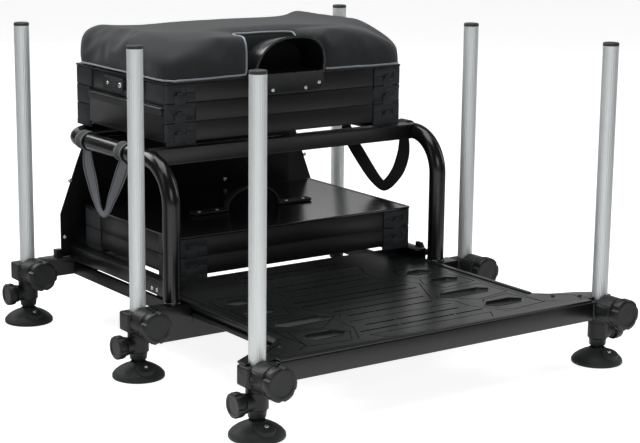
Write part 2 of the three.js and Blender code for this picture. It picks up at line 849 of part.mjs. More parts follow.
// An angle rail: the web hangs outside the deck and the flange carries the cassette.
function cassetteRail() {
  const outer = cassetteRailInner + cassetteRailWall;
  const bottom = cassetteRailTop - cassetteRailDrop;
  const flangeBottom = cassetteRailTop - cassetteRailWall;
  const profile = [
    [cassetteRailInner, bottom],
    [outer, bottom],
    [outer, cassetteRailTop],
    [outer - cassetteFlange, cassetteRailTop],
    [outer - cassetteFlange, flangeBottom],
    [cassetteRailInner, flangeBottom],
  ];
  const rail = prism(profile, "y", [cassetteRailFront, panelFront - fit]);
  const overRail = block(
    [cassetteRailInner - cassetteFlange, outer + overrun],
    [rearRailFront - fit, panelFront + overrun],
    [bottom - overrun, railTop + fit],
  );
  return cut(rail, overRail);
}

// The catch at the front of the right-hand cassette rail.
function cassetteLatch() {
  const inner = cassetteRailInner + cassetteRailWall + fit;
  const back = cassetteRailFront + latchLength;
  const middle = cassetteRailTop - latchHeight / 2;
  const profile = [
    [cassetteRailFront + latchPivotSetback / 2, middle - latchHeight / 2],
    [back, middle],
    [back, middle + latchHeight],
    [back - latchPivotSetback, middle + latchHeight],
    [cassetteRailFront + latchPivotSetback / 2, middle],
  ];
  return prism(profile, "x", [inner, inner + latchPlate]);
}

// The outer form of one stacking unit: panels between four corner blocks, with a groove at each row.
function trayUnit(front, depth, bottom, rows, footDrop) {
  const top = bottom + rows * trayRow;
  const back = front + depth;
  const inset = trayHalfWidth - trayPanelInset;
  const panels = block([-inset, inset], [front + trayPanelInset, back - trayPanelInset], [bottom, top]);
  const cornerIn = trayHalfWidth - cornerBlockWidth;
  const blockZ = [bottom - footDrop, top];
  const corner = (y) => prism(roundedRectangle([cornerIn, trayHalfWidth], y, trayCorner), "z", blockZ, 2);
  const corners = join(corner([front, front + cornerBlockWidth]), corner([back - cornerBlockWidth, back]));
  let unit = join(panels, bothSides(corners));
  const deep = trayHalfWidth - rowGrooveDepth;
  for (let row = 1; row < rows; row += 1) {
    const z = bottom + row * trayRow;
    const band = [z - rowGroove / 2, z + rowGroove / 2];
    const shellX = [-trayHalfWidth - overrun, trayHalfWidth + overrun];
    const shell = block(shellX, [front - overrun, back + overrun], band);
    const core = block([-deep, deep], [front + rowGrooveDepth, back - rowGrooveDepth], band);
    unit = cut(unit, cut(shell, core));
  }
  for (let row = 1; row <= rows; row += 1) {
    const slotTop = bottom + row * trayRow - catchSlotDrop;
    const slot = [slotTop - catchSlotHeight, slotTop];
    const slotAcross = [catchMargin, cornerBlockWidth - catchMargin];
    unit = cut(unit, cornerRecess([front, back], slot, slotAcross, catchSlotDepth));
  }
  return unit;
}

// A cut in the outer faces of all four corner blocks, over a stretch counted from the corner.
function cornerRecess([front, back], z, [near, far], deep) {
  const side = [trayHalfWidth - deep, trayHalfWidth + overrun];
  const across = [trayHalfWidth - far, trayHalfWidth - near];
  const atFront = join(
    block(across, [front - overrun, front + deep], z),
    block(side, [front + near, front + far], z),
  );
  const atBack = join(
    block(across, [back - deep, back + overrun], z),
    block(side, [back - far, back - near], z),
  );
  return bothSides(join(atFront, atBack));
}

// The space inside a unit, open at the top.
function trayHollow(front, depth, bottom, top) {
  const wall = trayPanelInset + trayWall;
  const inner = trayHalfWidth - wall;
  return block([-inner, inner], [front + wall, front + depth - wall], [bottom + trayWall, top + overrun]);
}

function lowerCassette() {
  const unit = trayUnit(cassetteFront, cassetteDepth, cassetteBottom, 2, cassetteFootDrop);
  return cut(unit, trayHollow(cassetteFront, cassetteDepth, cassetteBottom, cassetteTop));
}

function cassetteLid() {
  const y = [cassetteFront, cassetteBack];
  const outline = roundedRectangle([-trayHalfWidth, trayHalfWidth], y, trayCorner);
  return prism(outline, "z", [cassetteTop + fit, cassetteTop + fit + cassetteLidThickness]);
}

// A bowed strap grip between two flat end pads.
function cassetteHandle() {
  const lidTop = cassetteTop + fit + cassetteLidThickness + fit;
  const padTop = lidTop + handleFootHeight;
  const arch = Array.from({ length: handleArchPoints + 1 }, (_, i) => {
    const turn = Math.PI * (1 - i / handleArchPoints);
    const rise = handleRise * Math.sin(turn);
    const height = padTop - handleThickness / 2 + rise;
    return new THREE.Vector3(handleHalfSpan * Math.cos(turn), handleSetback, height);
  });
  const thin = handleThickness / 2;
  const wide = handleWidth / 2;
  const section = [new THREE.Vector2(-thin, -wide), new THREE.Vector2(thin, -wide)];
  section.push(new THREE.Vector2(thin, wide), new THREE.Vector2(-thin, wide));
  const grip = sweep(arch, section);
  const padX = [handleHalfSpan - handleThickness, handleHalfSpan - handleThickness + handleFootLength];
  const padY = [handleSetback - handleFootWidth / 2, handleSetback + handleFootWidth / 2];
  const pad = prism(roundedRectangle(padX, padY, handleFootWidth / 3), "z", [lidTop, padTop]);
  const below = block([-legX, legX], [0, cassetteBack], [cassetteBottom, lidTop]);
  return cut(join(grip, bothSides(pad)), below);
}

// The two-row unit with a bay for the side drawer, open to the left.
function drawerModule() {
  const unit = trayUnit(seatFront, seatDepth, seatBottom, 2, seatBottom - frameTop - fit);
  const bay = block(
    [-trayHalfWidth - overrun, -trayHalfWidth + drawerLength + runningGap],
    [drawerFront - runningGap, drawerFront + drawerDepth + runningGap],
    [seatBottom + trayWall, moduleTop - trayWall],
  );
  const ends = [seatFront, seatBack];
  const waist = [moduleTop - trayRow + waistFoot, moduleTop - waistTop];
  const ribNear = (cornerBlockWidth - waistRib) / 2;
  const outerWaist = cornerRecess(ends, waist, [-overrun, ribNear], waistDepth);
  const innerWaist = cornerRecess(ends, waist, [ribNear + waistRib, cornerBlockWidth], waistDepth);
  return cut(unit, bay, outerWaist, innerWaist);
}

function sideDrawer() {
  const z = [seatBottom + trayWall + runningGap, moduleTop - trayWall - runningGap];
  const y = [drawerFront, drawerFront + drawerDepth];
  const x = [-trayHalfWidth, -trayHalfWidth + drawerLength];
  const box = block(x, y, z);
  const hollow = block(
    [x[0] + drawerPanel, x[1] - drawerWall],
    [y[0] + drawerWall, y[1] - drawerWall],
    [z[0] + drawerWall, z[1] + overrun],
  );
  const pullTop = z[1] - drawerPullDepth;
  const pull = [
    [x[0] + sink, pullTop - drawerPullHeight],
    [x[0] + sink, pullTop],
    [x[0] - drawerPullDepth, pullTop],
    [x[0] - drawerPullDepth, pullTop - drawerPullHeight / 2],
  ];
  return cut(join(box, prism(pull, "y", y)), hollow);
}

function topTray() {
  const unit = trayUnit(seatFront, seatDepth, moduleTop + fit, 1, 0);
  const shorter = block(
    [-trayHalfWidth - overrun, trayHalfWidth + overrun],
    [seatFront - overrun, seatBack + overrun],
    [trayTop, trayTop + overrun],
  );
  return cut(unit, shorter, trayHollow(seatFront, seatDepth, moduleTop + fit, trayTop));
}

// A clip on the left side of the top tray that turns about its round screw.
function trayLatch() {
  const seat = -trayHalfWidth + trayPanelInset - fit;
  const outer = -trayHalfWidth - drawerPullDepth - runningGap;
  const middle = (moduleTop + trayTop) / 2;
  const z = [middle - trayLatchHeight / 2, middle + trayLatchHeight / 2];
  const y = [trayLatchFront, trayLatchFront + trayLatchLength];
  const plate = prism(roundedRectangle(y, z, trayLatchThickness), "x", [outer - trayLatchThickness, outer]);
  const pivot = [trayLatchFront + trayLatchPivot, middle];
  const hub = rod("x", trayLatchPivot, [outer - sink, seat], pivot, hubSides);
  const headX = [outer - trayLatchThickness - trayLatchHead, outer - sink];
  const head = rod("x", trayLatchPivot / 2, headX, pivot, hubSides);
  return join(plate, hub, head);
}

function seatLid() {
  const outline = roundedRectangle([-trayHalfWidth, trayHalfWidth], [seatFront, seatBack], trayCorner);
  return prism(outline, "z", [seatLidBottom, seatLidBottom + seatLidThickness]);
}

// Height of the cushion's crown over the seat, with firm ends and a rise to the front.
function crownHeight(x, y) {
  const end = Math.min(Math.abs(x) / (cushionHalfWidth - cushionCorner), 1);
  const forward = (cushionMiddle - y) / (cushionMiddle - cushionFront);
  return cushionHeight + cushionBolster * end * end * end + cushionFrontRise * forward;
}

const cushionRings = [
  { reachShare: 0.975, heightShare: 0 },
  { reachShare: 0.99, heightShare: 0.08 },
  { reachShare: 1, heightShare: 0.3 },
  { reachShare: 0.995, heightShare: 0.55 },
  { reachShare: 0.978, heightShare: 0.76 },
  { reachShare: 0.94, heightShare: 0.91 },
  { reachShare: 0.88, heightShare: 0.975 },
  { reachShare: 0.78, heightShare: 1 },
  { reachShare: 0.6, heightShare: 1 },
  { reachShare: 0.35, heightShare: 1 },
];

// A crowned cushion built from rings round a rounded rectangle, with the front notch cut out.
function cushion() {
  const halfDepth = (cushionBack - cushionFront) / 2;
  const x = [-cushionHalfWidth, cushionHalfWidth];
  const outline = roundedRectangle(x, [-halfDepth, halfDepth], cushionCorner);
  const around = outline.getSpacedPoints(cushionPoints).slice(0, cushionPoints);
  const count = around.length;
  const places = [0, cushionMiddle, cushionBottom];
  for (const { reachShare, heightShare } of cushionRings) {
    for (const point of around) {
      const inset = 1 - reachShare;
      const drawnIn = Math.min(inset * halfDepth, Math.abs(point.x) * inset * 2);
      const at = [point.x - Math.sign(point.x) * drawnIn, cushionMiddle + point.y * reachShare];
      places.push(...at, cushionBottom + heightShare * crownHeight(...at));
    }
  }
  places.push(0, cushionMiddle, cushionBottom + crownHeight(0, cushionMiddle));
  const last = places.length / 3 - 1;
  const faces = [];
  for (let i = 0; i < count; i += 1) {
    const next = (i + 1) % count;
    faces.push(0, 1 + next, 1 + i);
    for (let ring = 0; ring < cushionRings.length - 1; ring += 1) {
      const low = 1 + ring * count;
      const high = low + count;
      faces.push(low + i, low + next, high + next, low + i, high + next, high + i);
    }
    const rim = 1 + (cushionRings.length - 1) * count;
    faces.push(rim + i, rim + next, last);
  }
  const form = new THREE.BufferGeometry();
  form.setAttribute("position", new THREE.Float32BufferAttribute(places, 3));
  form.setIndex(faces);
  const notch = [
    [notchCentre - notchHalfWidth, cushionFront - overrun],
    [notchCentre + notchHalfWidth, cushionFront - overrun],
    [notchCentre + notchHalfWidth, cushionFront + notchStraight],
    [notchCentre + notchBackHalfWidth, notchBack],
    [notchCentre - notchBackHalfWidth, notchBack],
    [notchCentre - notchHalfWidth, cushionFront + notchStraight],
  ];
  return cut(solid(form), prism(notch, "z", [cushionBottom - overrun, cushionBottom + 2 * cushionHeight]));
}

// An arch of half an ellipse standing on the scoop's floor.
function arch(halfWidth, rise, y, floor) {
  return Array.from({ length: scoopArchPoints + 1 }, (_, i) => {
    const turn = (Math.PI * i) / scoopArchPoints;
    return new THREE.Vector3(notchCentre + halfWidth * Math.cos(turn), y, floor + rise * Math.sin(turn));
  });
}

// A solid between two arches with equal numbers of points.
function loft(front, back) {
  const count = front.length;
  const places = [...front, ...back].flatMap((p) => [p.x, p.y, p.z]);
  const faces = [];
  for (let i = 0; i < count; i += 1) {
    const next = (i + 1) % count;
    faces.push(i, next, count + next, i, count + next, count + i);
  }
  for (let i = 1; i < count - 1; i += 1) {
    faces.push(0, i + 1, i, count, count + i, count + i + 1);
  }
  const form = new THREE.BufferGeometry();
  form.setAttribute("position", new THREE.Float32BufferAttribute(places, 3));
  form.setIndex(faces);
  return solid(form);
}

// A hood open to the front, with an apron over the front of the top tray.
function poleScoop() {
  const floor = cushionBottom;
  const narrow = scoopHalfWidth * scoopBackShare;
  const rearRise = scoopRise * scoopBackShare;
  const outer = loft(
    arch(scoopHalfWidth, scoopRise, scoopFront, floor),
    arch(narrow, rearRise, scoopBack, floor),
  );
  const slope = (scoopHalfWidth - narrow) / (scoopBack - scoopFront);
  const backWall = scoopBack - scoopWall;
  const mouthFront = scoopFront - scoopWall;
  const wide = scoopHalfWidth - scoopWall + slope * scoopWall;
  const tight = narrow - scoopWall + slope * scoopWall;
  const riseShare = scoopRise / scoopHalfWidth;
  const innerRise = (halfWidth) => (halfWidth + scoopWall) * riseShare - 2 * scoopWall;
  const inner = loft(
    arch(wide, innerRise(wide), mouthFront, floor + scoopWall),
    arch(tight, innerRise(tight), backWall, floor + scoopWall),
  );
  const apronBack = seatFront - fit;
  const apronLow = floor - trayRow;
  const apronShape = new THREE.Shape();
  const apronCorner = trayRow / 2;
  apronShape.moveTo(notchCentre - apronHalfWidth, floor + scoopWall);
  apronShape.lineTo(notchCentre - apronHalfWidth, apronLow + apronCorner);
  apronShape.lineTo(notchCentre - apronHalfWidth + apronCorner, apronLow);
  apronShape.lineTo(notchCentre + apronHalfWidth - apronCorner, apronLow);
  apronShape.lineTo(notchCentre + apronHalfWidth, apronLow + apronCorner);
  apronShape.lineTo(notchCentre + apronHalfWidth, floor + scoopWall);
  const apron = prism(apronShape, "y", [scoopFront, apronBack]);
  return cut(join(outer, apron), inner);
}

// A hanging strap with a closed loop round the frame tube at each end.
function strap(front, back) {
  const top = frameAxisTop - tubeRadius - fit - strapThickness / 2;
  const bottom = top - strapSag;
  const middle = (front + back) / 2;
  const halfBand = strapWidth / 2;
  const lean = Math.atan2(back - front, 2 * strapSag);
  const across = halfBand / Math.cos(lean);
  const shape = new THREE.Shape();
  shape.moveTo(front - across, top);
  shape.lineTo(middle - across, bottom + halfBand);
  shape.absarc(middle, bottom + halfBand, across, Math.PI, 2 * Math.PI);
  shape.lineTo(back + across, top);
  shape.lineTo(back - across, top);
  shape.lineTo(middle, bottom + halfBand + across / Math.tan(lean));
  shape.lineTo(front + across, top);
  const halfSheet = strapThickness / 2;
  const sheetX = [frameHalfTrack - halfSheet, frameHalfTrack + halfSheet];
  const hanging = prism(shape, "x", sheetX, strapBendSteps);
  const loopAt = (y) => {
    const centre = [frameHalfTrack, frameAxisTop];
    const band = [y - halfBand, y + halfBand];
    const ring = rod("y", tubeRadius + fit + strapThickness, band, centre, strapLoopSides);
    const inside = [y - halfBand - overrun, y + halfBand + overrun];
    return cut(ring, rod("y", tubeRadius + fit, inside, centre, strapLoopSides));
  };
  return join(hanging, loopAt(front), loopAt(back));
}

const base = new THREE.Group();
base.add(
  piece("base_frame", baseFrame(), "blackPaint"),
  piece("seat_frame_tube", seatFrame(), "blackPaint"),
  piece("frame_cross_bar", frameCrossBar(), "blackPaint"),
  piece("back_panel", backPanel(), "blackPaint"),
  piece("cassette_rail_right", cassetteRail(), "blackPaint"),
  mirrored(piece("cassette_rail_left", cassetteRail(), "blackPaint")),
  piece("cassette_latch", cassetteLatch(), "blackPlastic"),
  legUnit("mid_right", 1, 0),
  legUnit("mid_left", -1, 0),
  legUnit("rear_right", 1, rearLegReach),
  legUnit("rear_left", -1, rearLegReach),
);

const footplate = new THREE.Group();
footplate.add(
  piece("front_rail", frontRail(), "blackPaint"),
  piece("slide_rail_right", slideRail(), "blackPaint"),
  mirrored(piece("slide_rail_left", slideRail(), "blackPaint")),
  piece("footplate_deck", footplateDeck(), "blackPlastic"),
  legUnit("front_right", 1, -frontLegReach),
  legUnit("front_left", -1, -frontLegReach),
);

const stack = new THREE.Group();
stack.add(
  piece("lower_cassette", lowerCassette(), "blackPlastic"),
  piece("cassette_lid", cassetteLid(), "glossPlastic"),
  piece("cassette_handle", cassetteHandle(), "rubber"),
  piece("drawer_module", drawerModule(), "blackPlastic"),
  piece("side_drawer", sideDrawer(), "blackPlastic"),
  piece("top_tray", topTray(), "blackPlastic"),
  piece("tray_latch", trayLatch(), "blackPlastic"),
  piece("seat_lid", seatLid(), "blackPlastic"),
  piece("cushion", cushion(), "cover"),
  piece("pole_scoop", poleScoop(), "blackPlastic"),
);

const straps = new THREE.Group();
straps.add(
  piece("strap_right", strap(strapFrontRight, strapBackRight), "webbing"),
  mirrored(piece("strap_left", strap(strapFrontLeft, strapBackLeft), "webbing")),
);

// The origin is under the middle of the whole box's footprint.
const frontReach = frontLegReach + railHalf + bossLength + fit + knobNeckLength + knobDepth;
const rearReach = rearLegReach + footRadius;
const seatBox = new THREE.Group();
seatBox.add(base, footplate, stack, straps);
seatBox.position.y = (frontReach - rearReach) / 2;

export default seatBox;
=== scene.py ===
import json
import math
from contextlib import contextmanager

import bmesh
import bpy
from bpy.props import FloatProperty, FloatVectorProperty, IntProperty, PointerProperty
from mathutils import Matrix, Vector

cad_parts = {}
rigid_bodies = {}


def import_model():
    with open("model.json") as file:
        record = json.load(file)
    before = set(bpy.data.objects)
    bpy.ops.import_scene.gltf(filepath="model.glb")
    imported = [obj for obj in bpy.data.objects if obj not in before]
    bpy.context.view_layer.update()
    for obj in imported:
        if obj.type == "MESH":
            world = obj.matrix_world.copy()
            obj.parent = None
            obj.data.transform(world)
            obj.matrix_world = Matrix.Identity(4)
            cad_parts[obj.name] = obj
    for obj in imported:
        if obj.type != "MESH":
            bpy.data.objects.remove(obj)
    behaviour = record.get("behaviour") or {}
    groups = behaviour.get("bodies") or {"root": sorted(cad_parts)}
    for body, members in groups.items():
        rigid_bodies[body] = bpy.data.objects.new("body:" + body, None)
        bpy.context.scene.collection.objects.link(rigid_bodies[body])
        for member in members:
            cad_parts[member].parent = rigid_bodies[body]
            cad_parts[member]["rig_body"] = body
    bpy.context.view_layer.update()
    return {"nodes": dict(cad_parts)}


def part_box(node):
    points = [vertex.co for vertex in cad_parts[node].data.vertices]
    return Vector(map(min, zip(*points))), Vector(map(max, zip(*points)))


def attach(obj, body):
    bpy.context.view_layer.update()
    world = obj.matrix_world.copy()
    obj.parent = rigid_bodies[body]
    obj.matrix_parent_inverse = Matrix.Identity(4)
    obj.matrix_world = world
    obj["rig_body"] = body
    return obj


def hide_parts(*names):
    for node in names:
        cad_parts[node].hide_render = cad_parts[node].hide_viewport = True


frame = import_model()

bl_info = {
    "name": "Fishing Seat Box",
    "version": (1, 0, 0),
    "blender": (4, 5, 0),
    "location": "View3D > Sidebar > Seat Box",
    "description": "Dresses the packed seat box with its modelled pieces and finishes",
    "category": "Add Mesh",
}

MM = 0.001
SIDES = {"left": -1, "right": 1}
PLACES = ("front", "mid", "rear")
# Cutters run past what they cut by one of these.
OVERRUN = 5 * MM
SHORT_OVERRUN = 2 * MM
LONG_OVERRUN = 20 * MM
FAR = 60 * MM

# Turns that lay a piece drawn round z along another axis.
ALONG = {"X": (0, math.pi / 2, 0), "Y": (-math.pi / 2, 0, 0), "Z": (0, 0, 0)}


def node_middle(node):
    low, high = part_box(node)
    return (low + high) / 2


LEG_AXIS_Y = node_middle("mid_left_leg").y


def deselect():
    bpy.ops.object.select_all(action="DESELECT")


def take(piece):
    """Makes one piece the only selected one and the active one."""
    deselect()
    piece.select_set(True)
    bpy.context.view_layer.objects.active = piece
    return piece


def settle(piece):
    """Moves a piece's place, turn and scale into its mesh."""
    take(piece)
    bpy.ops.object.transform_apply(location=True, rotation=True, scale=True)
    return piece


def block(low, high):
    """A block between two corners."""
    low, high = Vector(low), Vector(high)
    deselect()
    bpy.ops.mesh.primitive_cube_add(size=1, location=(low + high) / 2, scale=high - low)
    return settle(bpy.context.object)


def rod(radius, start, end, axis="Z", centre=(0, 0, 0), sides=48):
    """A round bar along an axis, from start to end on that axis, through a centre."""
    place = Vector(centre)
    place["XYZ".index(axis)] = (start + end) / 2
    deselect()
    bpy.ops.mesh.primitive_cylinder_add(
        vertices=sides, radius=radius, depth=end - start, location=place, rotation=ALONG[axis]
    )
    return settle(bpy.context.object)


@contextmanager
def shaping(piece):
    """Edit mode on one piece, with nothing selected."""
    take(piece)
    bpy.ops.object.mode_set(mode="EDIT")
    bpy.ops.mesh.select_all(action="DESELECT")
    yield piece
    bpy.ops.object.mode_set(mode="OBJECT")


def choose(piece, kind, test):
    """In edit mode, selects the points, edges or faces whose middle and normal pass a test."""
    bpy.ops.mesh.select_mode(type=kind)
    bpy.ops.mesh.select_all(action="DESELECT")
    mesh = bmesh.from_edit_mesh(piece.data)
    mesh.normal_update()
    if kind == "FACE":
        for face in mesh.faces:
            face.select_set(bool(test(face.calc_center_median(), face.normal)))
    elif kind == "EDGE":
        for edge in mesh.edges:
            a, b = (point.co for point in edge.verts)
            edge.select_set(bool(test((a + b) / 2, b - a)))
    else:
        for point in mesh.verts:
            point.select_set(bool(test(point.co, point.normal)))
    mesh.select_flush_mode()
    bmesh.update_edit_mesh(piece.data)


def push(offset):
    """Extrudes what is selected by an offset."""
    bpy.ops.mesh.extrude_region_move(TRANSFORM_OT_translate={"value": offset})


def ring_to(radius, before, height, rise):
    """Extrudes the selected ring up by a rise and widens it from one radius to the next."""
    push((0, 0, rise))
    share = radius / before
    bpy.ops.transform.resize(value=(share, share, 1), center_override=(0, 0, height))


def turned(profile, sides=48):
    """A round piece drawn out ring by ring along a profile of (radius, height) points."""
    radius, height = profile[0]
    deselect()
    bpy.ops.mesh.primitive_circle_add(vertices=sides, radius=radius, fill_type="NGON", location=(0, 0, height))
    piece = settle(bpy.context.object)
    with shaping(piece):
        bpy.ops.mesh.select_mode(type="FACE")
        bpy.ops.mesh.select_all(action="SELECT")
        for next_radius, next_height in profile[1:]:
            ring_to(next_radius, radius, next_height, next_height - height)
            radius, height = next_radius, next_height
        bpy.ops.mesh.select_all(action="SELECT")
        bpy.ops.mesh.normals_make_consistent(inside=False)
    return piece


def lay(piece, axis, place=(0, 0, 0), flip=False):
    """Lays a piece drawn round z along another axis, at a place."""
    turn = Matrix.Rotation(math.pi, 4, "X" if axis == "Z" else "Z") if flip else Matrix.Identity(4)
    rotation = Matrix.Identity(4)
    if axis == "X":
        rotation = Matrix.Rotation(math.pi / 2, 4, "Y")
    elif axis == "Y":
        rotation = Matrix.Rotation(-math.pi / 2, 4, "X")
    piece.matrix_world = Matrix.Translation(place) @ turn @ rotation
    return settle(piece)


def soften(piece, width, segments=2, angle=35):
    """Rounds the sharp edges of a piece."""
    take(piece)
    bevel = piece.modifiers.new("edges", "BEVEL")
    bevel.width = width
    bevel.segments = segments
    bevel.limit_method = "ANGLE"
    bevel.angle_limit = math.radians(angle)
    bevel.miter_outer = "MITER_ARC"
    bpy.ops.object.modifier_apply(modifier=bevel.name)
    return piece


def combine(piece, tool, how):
    """Cuts, joins or keeps what a piece shares with a tool, and removes the tool."""
    take(piece)
    boolean = piece.modifiers.new("shape", "BOOLEAN")
    boolean.operation = how
    boolean.solver = "EXACT"
    boolean.object = tool
    bpy.ops.object.modifier_apply(modifier=boolean.name)
    bpy.data.objects.remove(tool)
    return piece


def cut(piece, *tools):
    for tool in tools:
        combine(piece, tool, "DIFFERENCE")
    return piece


def weld(piece, *others):
    for other in others:
        combine(piece, other, "UNION")
    return piece


def gather(pieces):
    """Joins separate shells into one object."""
    deselect()
    for piece in pieces:
        piece.select_set(True)
    bpy.context.view_layer.objects.active = pieces[0]
    if len(pieces) > 1:
        bpy.ops.object.join()
    return bpy.context.object


def smooth(piece, angle=40):
    take(piece)
    bpy.ops.object.shade_smooth_by_angle(angle=math.radians(angle))
    return piece


def twin(piece):
    """A copy with its own mesh."""
    double = piece.copy()
    double.data = piece.data.copy()
    bpy.context.scene.collection.objects.link(double)
    return double


def copy_of(piece, offset=(0, 0, 0), mirror=False):
    """A moved copy, turned into its mirror image across x if asked."""
    double = twin(piece)
    if mirror:
        double.scale.x = -1
        settle(double)
        with shaping(double):
            bpy.ops.mesh.select_all(action="SELECT")
            bpy.ops.mesh.normals_make_consistent(inside=False)
    double.location = offset
    return settle(double)


def dress(piece, name, body, material, stands_for=()):
    """Names a finished piece, gives it its finish and sets it on its body."""
    piece.name = name
    piece.data.name = name
    piece.data.materials.clear()
    piece.data.materials.append(material)
    if stands_for:
        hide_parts(*stands_for)
    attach(piece, body)
    return piece


def body_of(node):
    return frame["nodes"][node].get("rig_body")


# Materials


class Mix:
    """A material under construction, with short ways to add and wire its nodes."""

    def __init__(self, name, colour, roughness, metallic=0.0):
        self.material = bpy.data.materials.new(name)
        self.material.use_nodes = True
        self.tree = self.material.node_tree
        self.shader = self.tree.nodes["Principled BSDF"]
        self.shader.inputs["Metallic"].default_value = metallic
        self.shader.inputs["Roughness"].default_value = roughness
        self.shader.inputs["Base Color"].default_value = (*colour, 1)
        self.colour = colour
        self.roughness = roughness
        self.places = self.node("ShaderNodeTexCoord").outputs["Object"]

    def node(self, kind, **values):
        made = self.tree.nodes.new(kind)
        for key, value in values.items():
            setattr(made, key, value)
        return made

    def wire(self, start, end):
        self.tree.links.new(start, end)

    def stretched(self, scale):
        """Object places stretched along the axes."""
        mapping = self.node("ShaderNodeMapping")
        mapping.inputs["Scale"].default_value = scale
        self.wire(self.places, mapping.inputs["Vector"])
        return mapping.outputs["Vector"]

    def noise(self, scale, detail, places=None):
        made = self.node("ShaderNodeTexNoise")
        made.inputs["Scale"].default_value = scale
        made.inputs["Detail"].default_value = detail
        self.wire(places or self.places, made.inputs["Vector"])
        return made.outputs["Fac"]

    def cells(self, scale):
        made = self.node("ShaderNodeTexVoronoi")
        made.inputs["Scale"].default_value = scale
        self.wire(self.places, made.inputs["Vector"])
        return made.outputs["Distance"]

    def range(self, value, low, high, from_low=0.0, from_high=1.0):
        made = self.node("ShaderNodeMapRange")
        made.inputs["From Min"].default_value = from_low
        made.inputs["From Max"].default_value = from_high
        made.inputs["To Min"].default_value = low
        made.inputs["To Max"].default_value = high
        self.wire(value, made.inputs["Value"])
        return made.outputs["Result"]

    def maths(self, operation, first, second=0):
        made = self.node("ShaderNodeMath", operation=operation)
        for socket, value in zip(made.inputs, (first, second)):
            if isinstance(value, (int, float)):
                socket.default_value = value
            else:
                self.wire(value, socket)
        return made.outputs["Value"]

    def blend(self, share, first, second):
        """A colour between two, by a share."""
        made = self.node("ShaderNodeMix", data_type="RGBA")
        self.wire(share, made.inputs["Factor"])
        for socket, value in ((made.inputs["A"], first), (made.inputs["B"], second)):
            if isinstance(value, tuple):
                socket.default_value = (*value, 1)
            else:
                self.wire(value, socket)
        return made.outputs["Result"]

    def tint(self, share, darker, lighter):
        """Varies the base colour between a darker and a lighter tone."""
        first = tuple(part * darker for part in self.colour)
        second = tuple(part * lighter for part in self.colour)
        self.wire(self.blend(share, first, second), self.shader.inputs["Base Color"])

    def rough(self, share, low, high):
        self.wire(self.range(share, low, high), self.shader.inputs["Roughness"])

    def bump(self, height, strength, depth):
        made = self.node("ShaderNodeBump")
        made.inputs["Strength"].default_value = strength
        made.inputs["Distance"].default_value = depth
        self.wire(height, made.inputs["Height"])
        last = self.shader.inputs["Normal"]
        if last.is_linked:
            self.wire(last.links[0].from_socket, made.inputs["Normal"])
        self.wire(made.outputs["Normal"], last)


def coated_metal(name, colour, roughness, specular=0.5):
    """Powder-coated steel or aluminium: faint orange peel under a sheen."""
    mix = Mix(name, colour, roughness)
    mix.shader.inputs["Specular IOR Level"].default_value = specular
    broad = mix.noise(14, 4)
    mix.tint(broad, 0.82, 1.2)
    mix.rough(mix.noise(60, 5), roughness * 0.8, roughness * 1.25)
    mix.bump(mix.noise(2600, 2), 0.5, 0.02 * MM)
    return mix.material


def moulded_plastic(name, colour, roughness, specular=0.42, grain=1800, grain_depth=0.03 * MM):
    """Injection-moulded plastic with a fine spark-eroded grain and a little handling shine."""
    mix = Mix(name, colour, roughness)
    mix.shader.inputs["Specular IOR Level"].default_value = specular
    mix.tint(mix.noise(9, 5), 0.8, 1.22)
    mix.rough(mix.noise(35, 4), roughness * 0.85, roughness * 1.15)
    mix.bump(mix.cells(grain), 0.35, grain_depth)
    return mix.material


def ribbed_aluminium(name, colour, roughness):
    """Drawn aluminium tube with fine lines along its length."""
    mix = Mix(name, colour, roughness, 0.5)
    lines = mix.noise(900, 2, places=mix.stretched((1, 1, 0.01)))
    streaks = mix.noise(110, 3, places=mix.stretched((1, 1, 0.012)))
    mix.tint(streaks, 0.8, 1.1)
    mix.rough(lines, roughness * 0.7, roughness * 1.4)
    mix.bump(lines, 0.25, 0.03 * MM)
    return mix.material


def plated_steel(name, colour, roughness):
    """Bright plated screws and bolts."""
    mix = Mix(name, colour, roughness, 1.0)
    mix.rough(mix.noise(700, 3), roughness * 0.7, roughness * 1.5)
    return mix.material


def soft_rubber(name, colour, roughness):
    mix = Mix(name, colour, roughness)
    mix.shader.inputs["Specular IOR Level"].default_value = 0.35
    mix.tint(mix.noise(22, 6), 0.75, 1.35)
    mix.rough(mix.noise(50, 4), roughness * 0.8, min(roughness * 1.15, 1))
    mix.bump(mix.noise(1500, 3), 0.3, 0.05 * MM)
    return mix.material


def seat_cloth(name, colour, roughness):
    """Coated seat cloth: a fine plain weave with a soft bloom and slight mottling."""
    mix = Mix(name, colour, roughness)
    mix.shader.inputs["Sheen Weight"].default_value = 0.18
    mix.shader.inputs["Sheen Roughness"].default_value = 0.5
    mix.shader.inputs["Specular IOR Level"].default_value = 0.3
    threads = []
    for direction in ("X", "Y", "Z"):
        wave = mix.node("ShaderNodeTexWave", wave_type="BANDS", bands_direction=direction)
        wave.inputs["Scale"].default_value = 260
        wave.inputs["Distortion"].default_value = 0.6
        wave.inputs["Detail"].default_value = 1
        mix.wire(mix.places, wave.inputs["Vector"])
        threads.append(wave.outputs["Fac"])
    weave = mix.maths("ADD", mix.maths("ADD", threads[0], threads[1]), threads[2])
    mottled = mix.noise(7, 6)
    mix.tint(mottled, 0.8, 1.2)
    mix.rough(mix.noise(25, 4), roughness * 0.9, min(roughness * 1.1, 1))
    mix.bump(mix.range(weave, 0, 1, 0, 3), 0.4, 0.12 * MM)
    mix.bump(mix.noise(38, 4), 0.25, 0.7 * MM)
    return mix.material


def piping_cord(name, colour, roughness):
    mix = Mix(name, colour, roughness)
    mix.shader.inputs["Sheen Weight"].default_value = 0.2
    mix.tint(mix.noise(40, 4), 0.85, 1.1)
    mix.bump(mix.noise(1100, 2), 0.5, 0.15 * MM)
    return mix.material


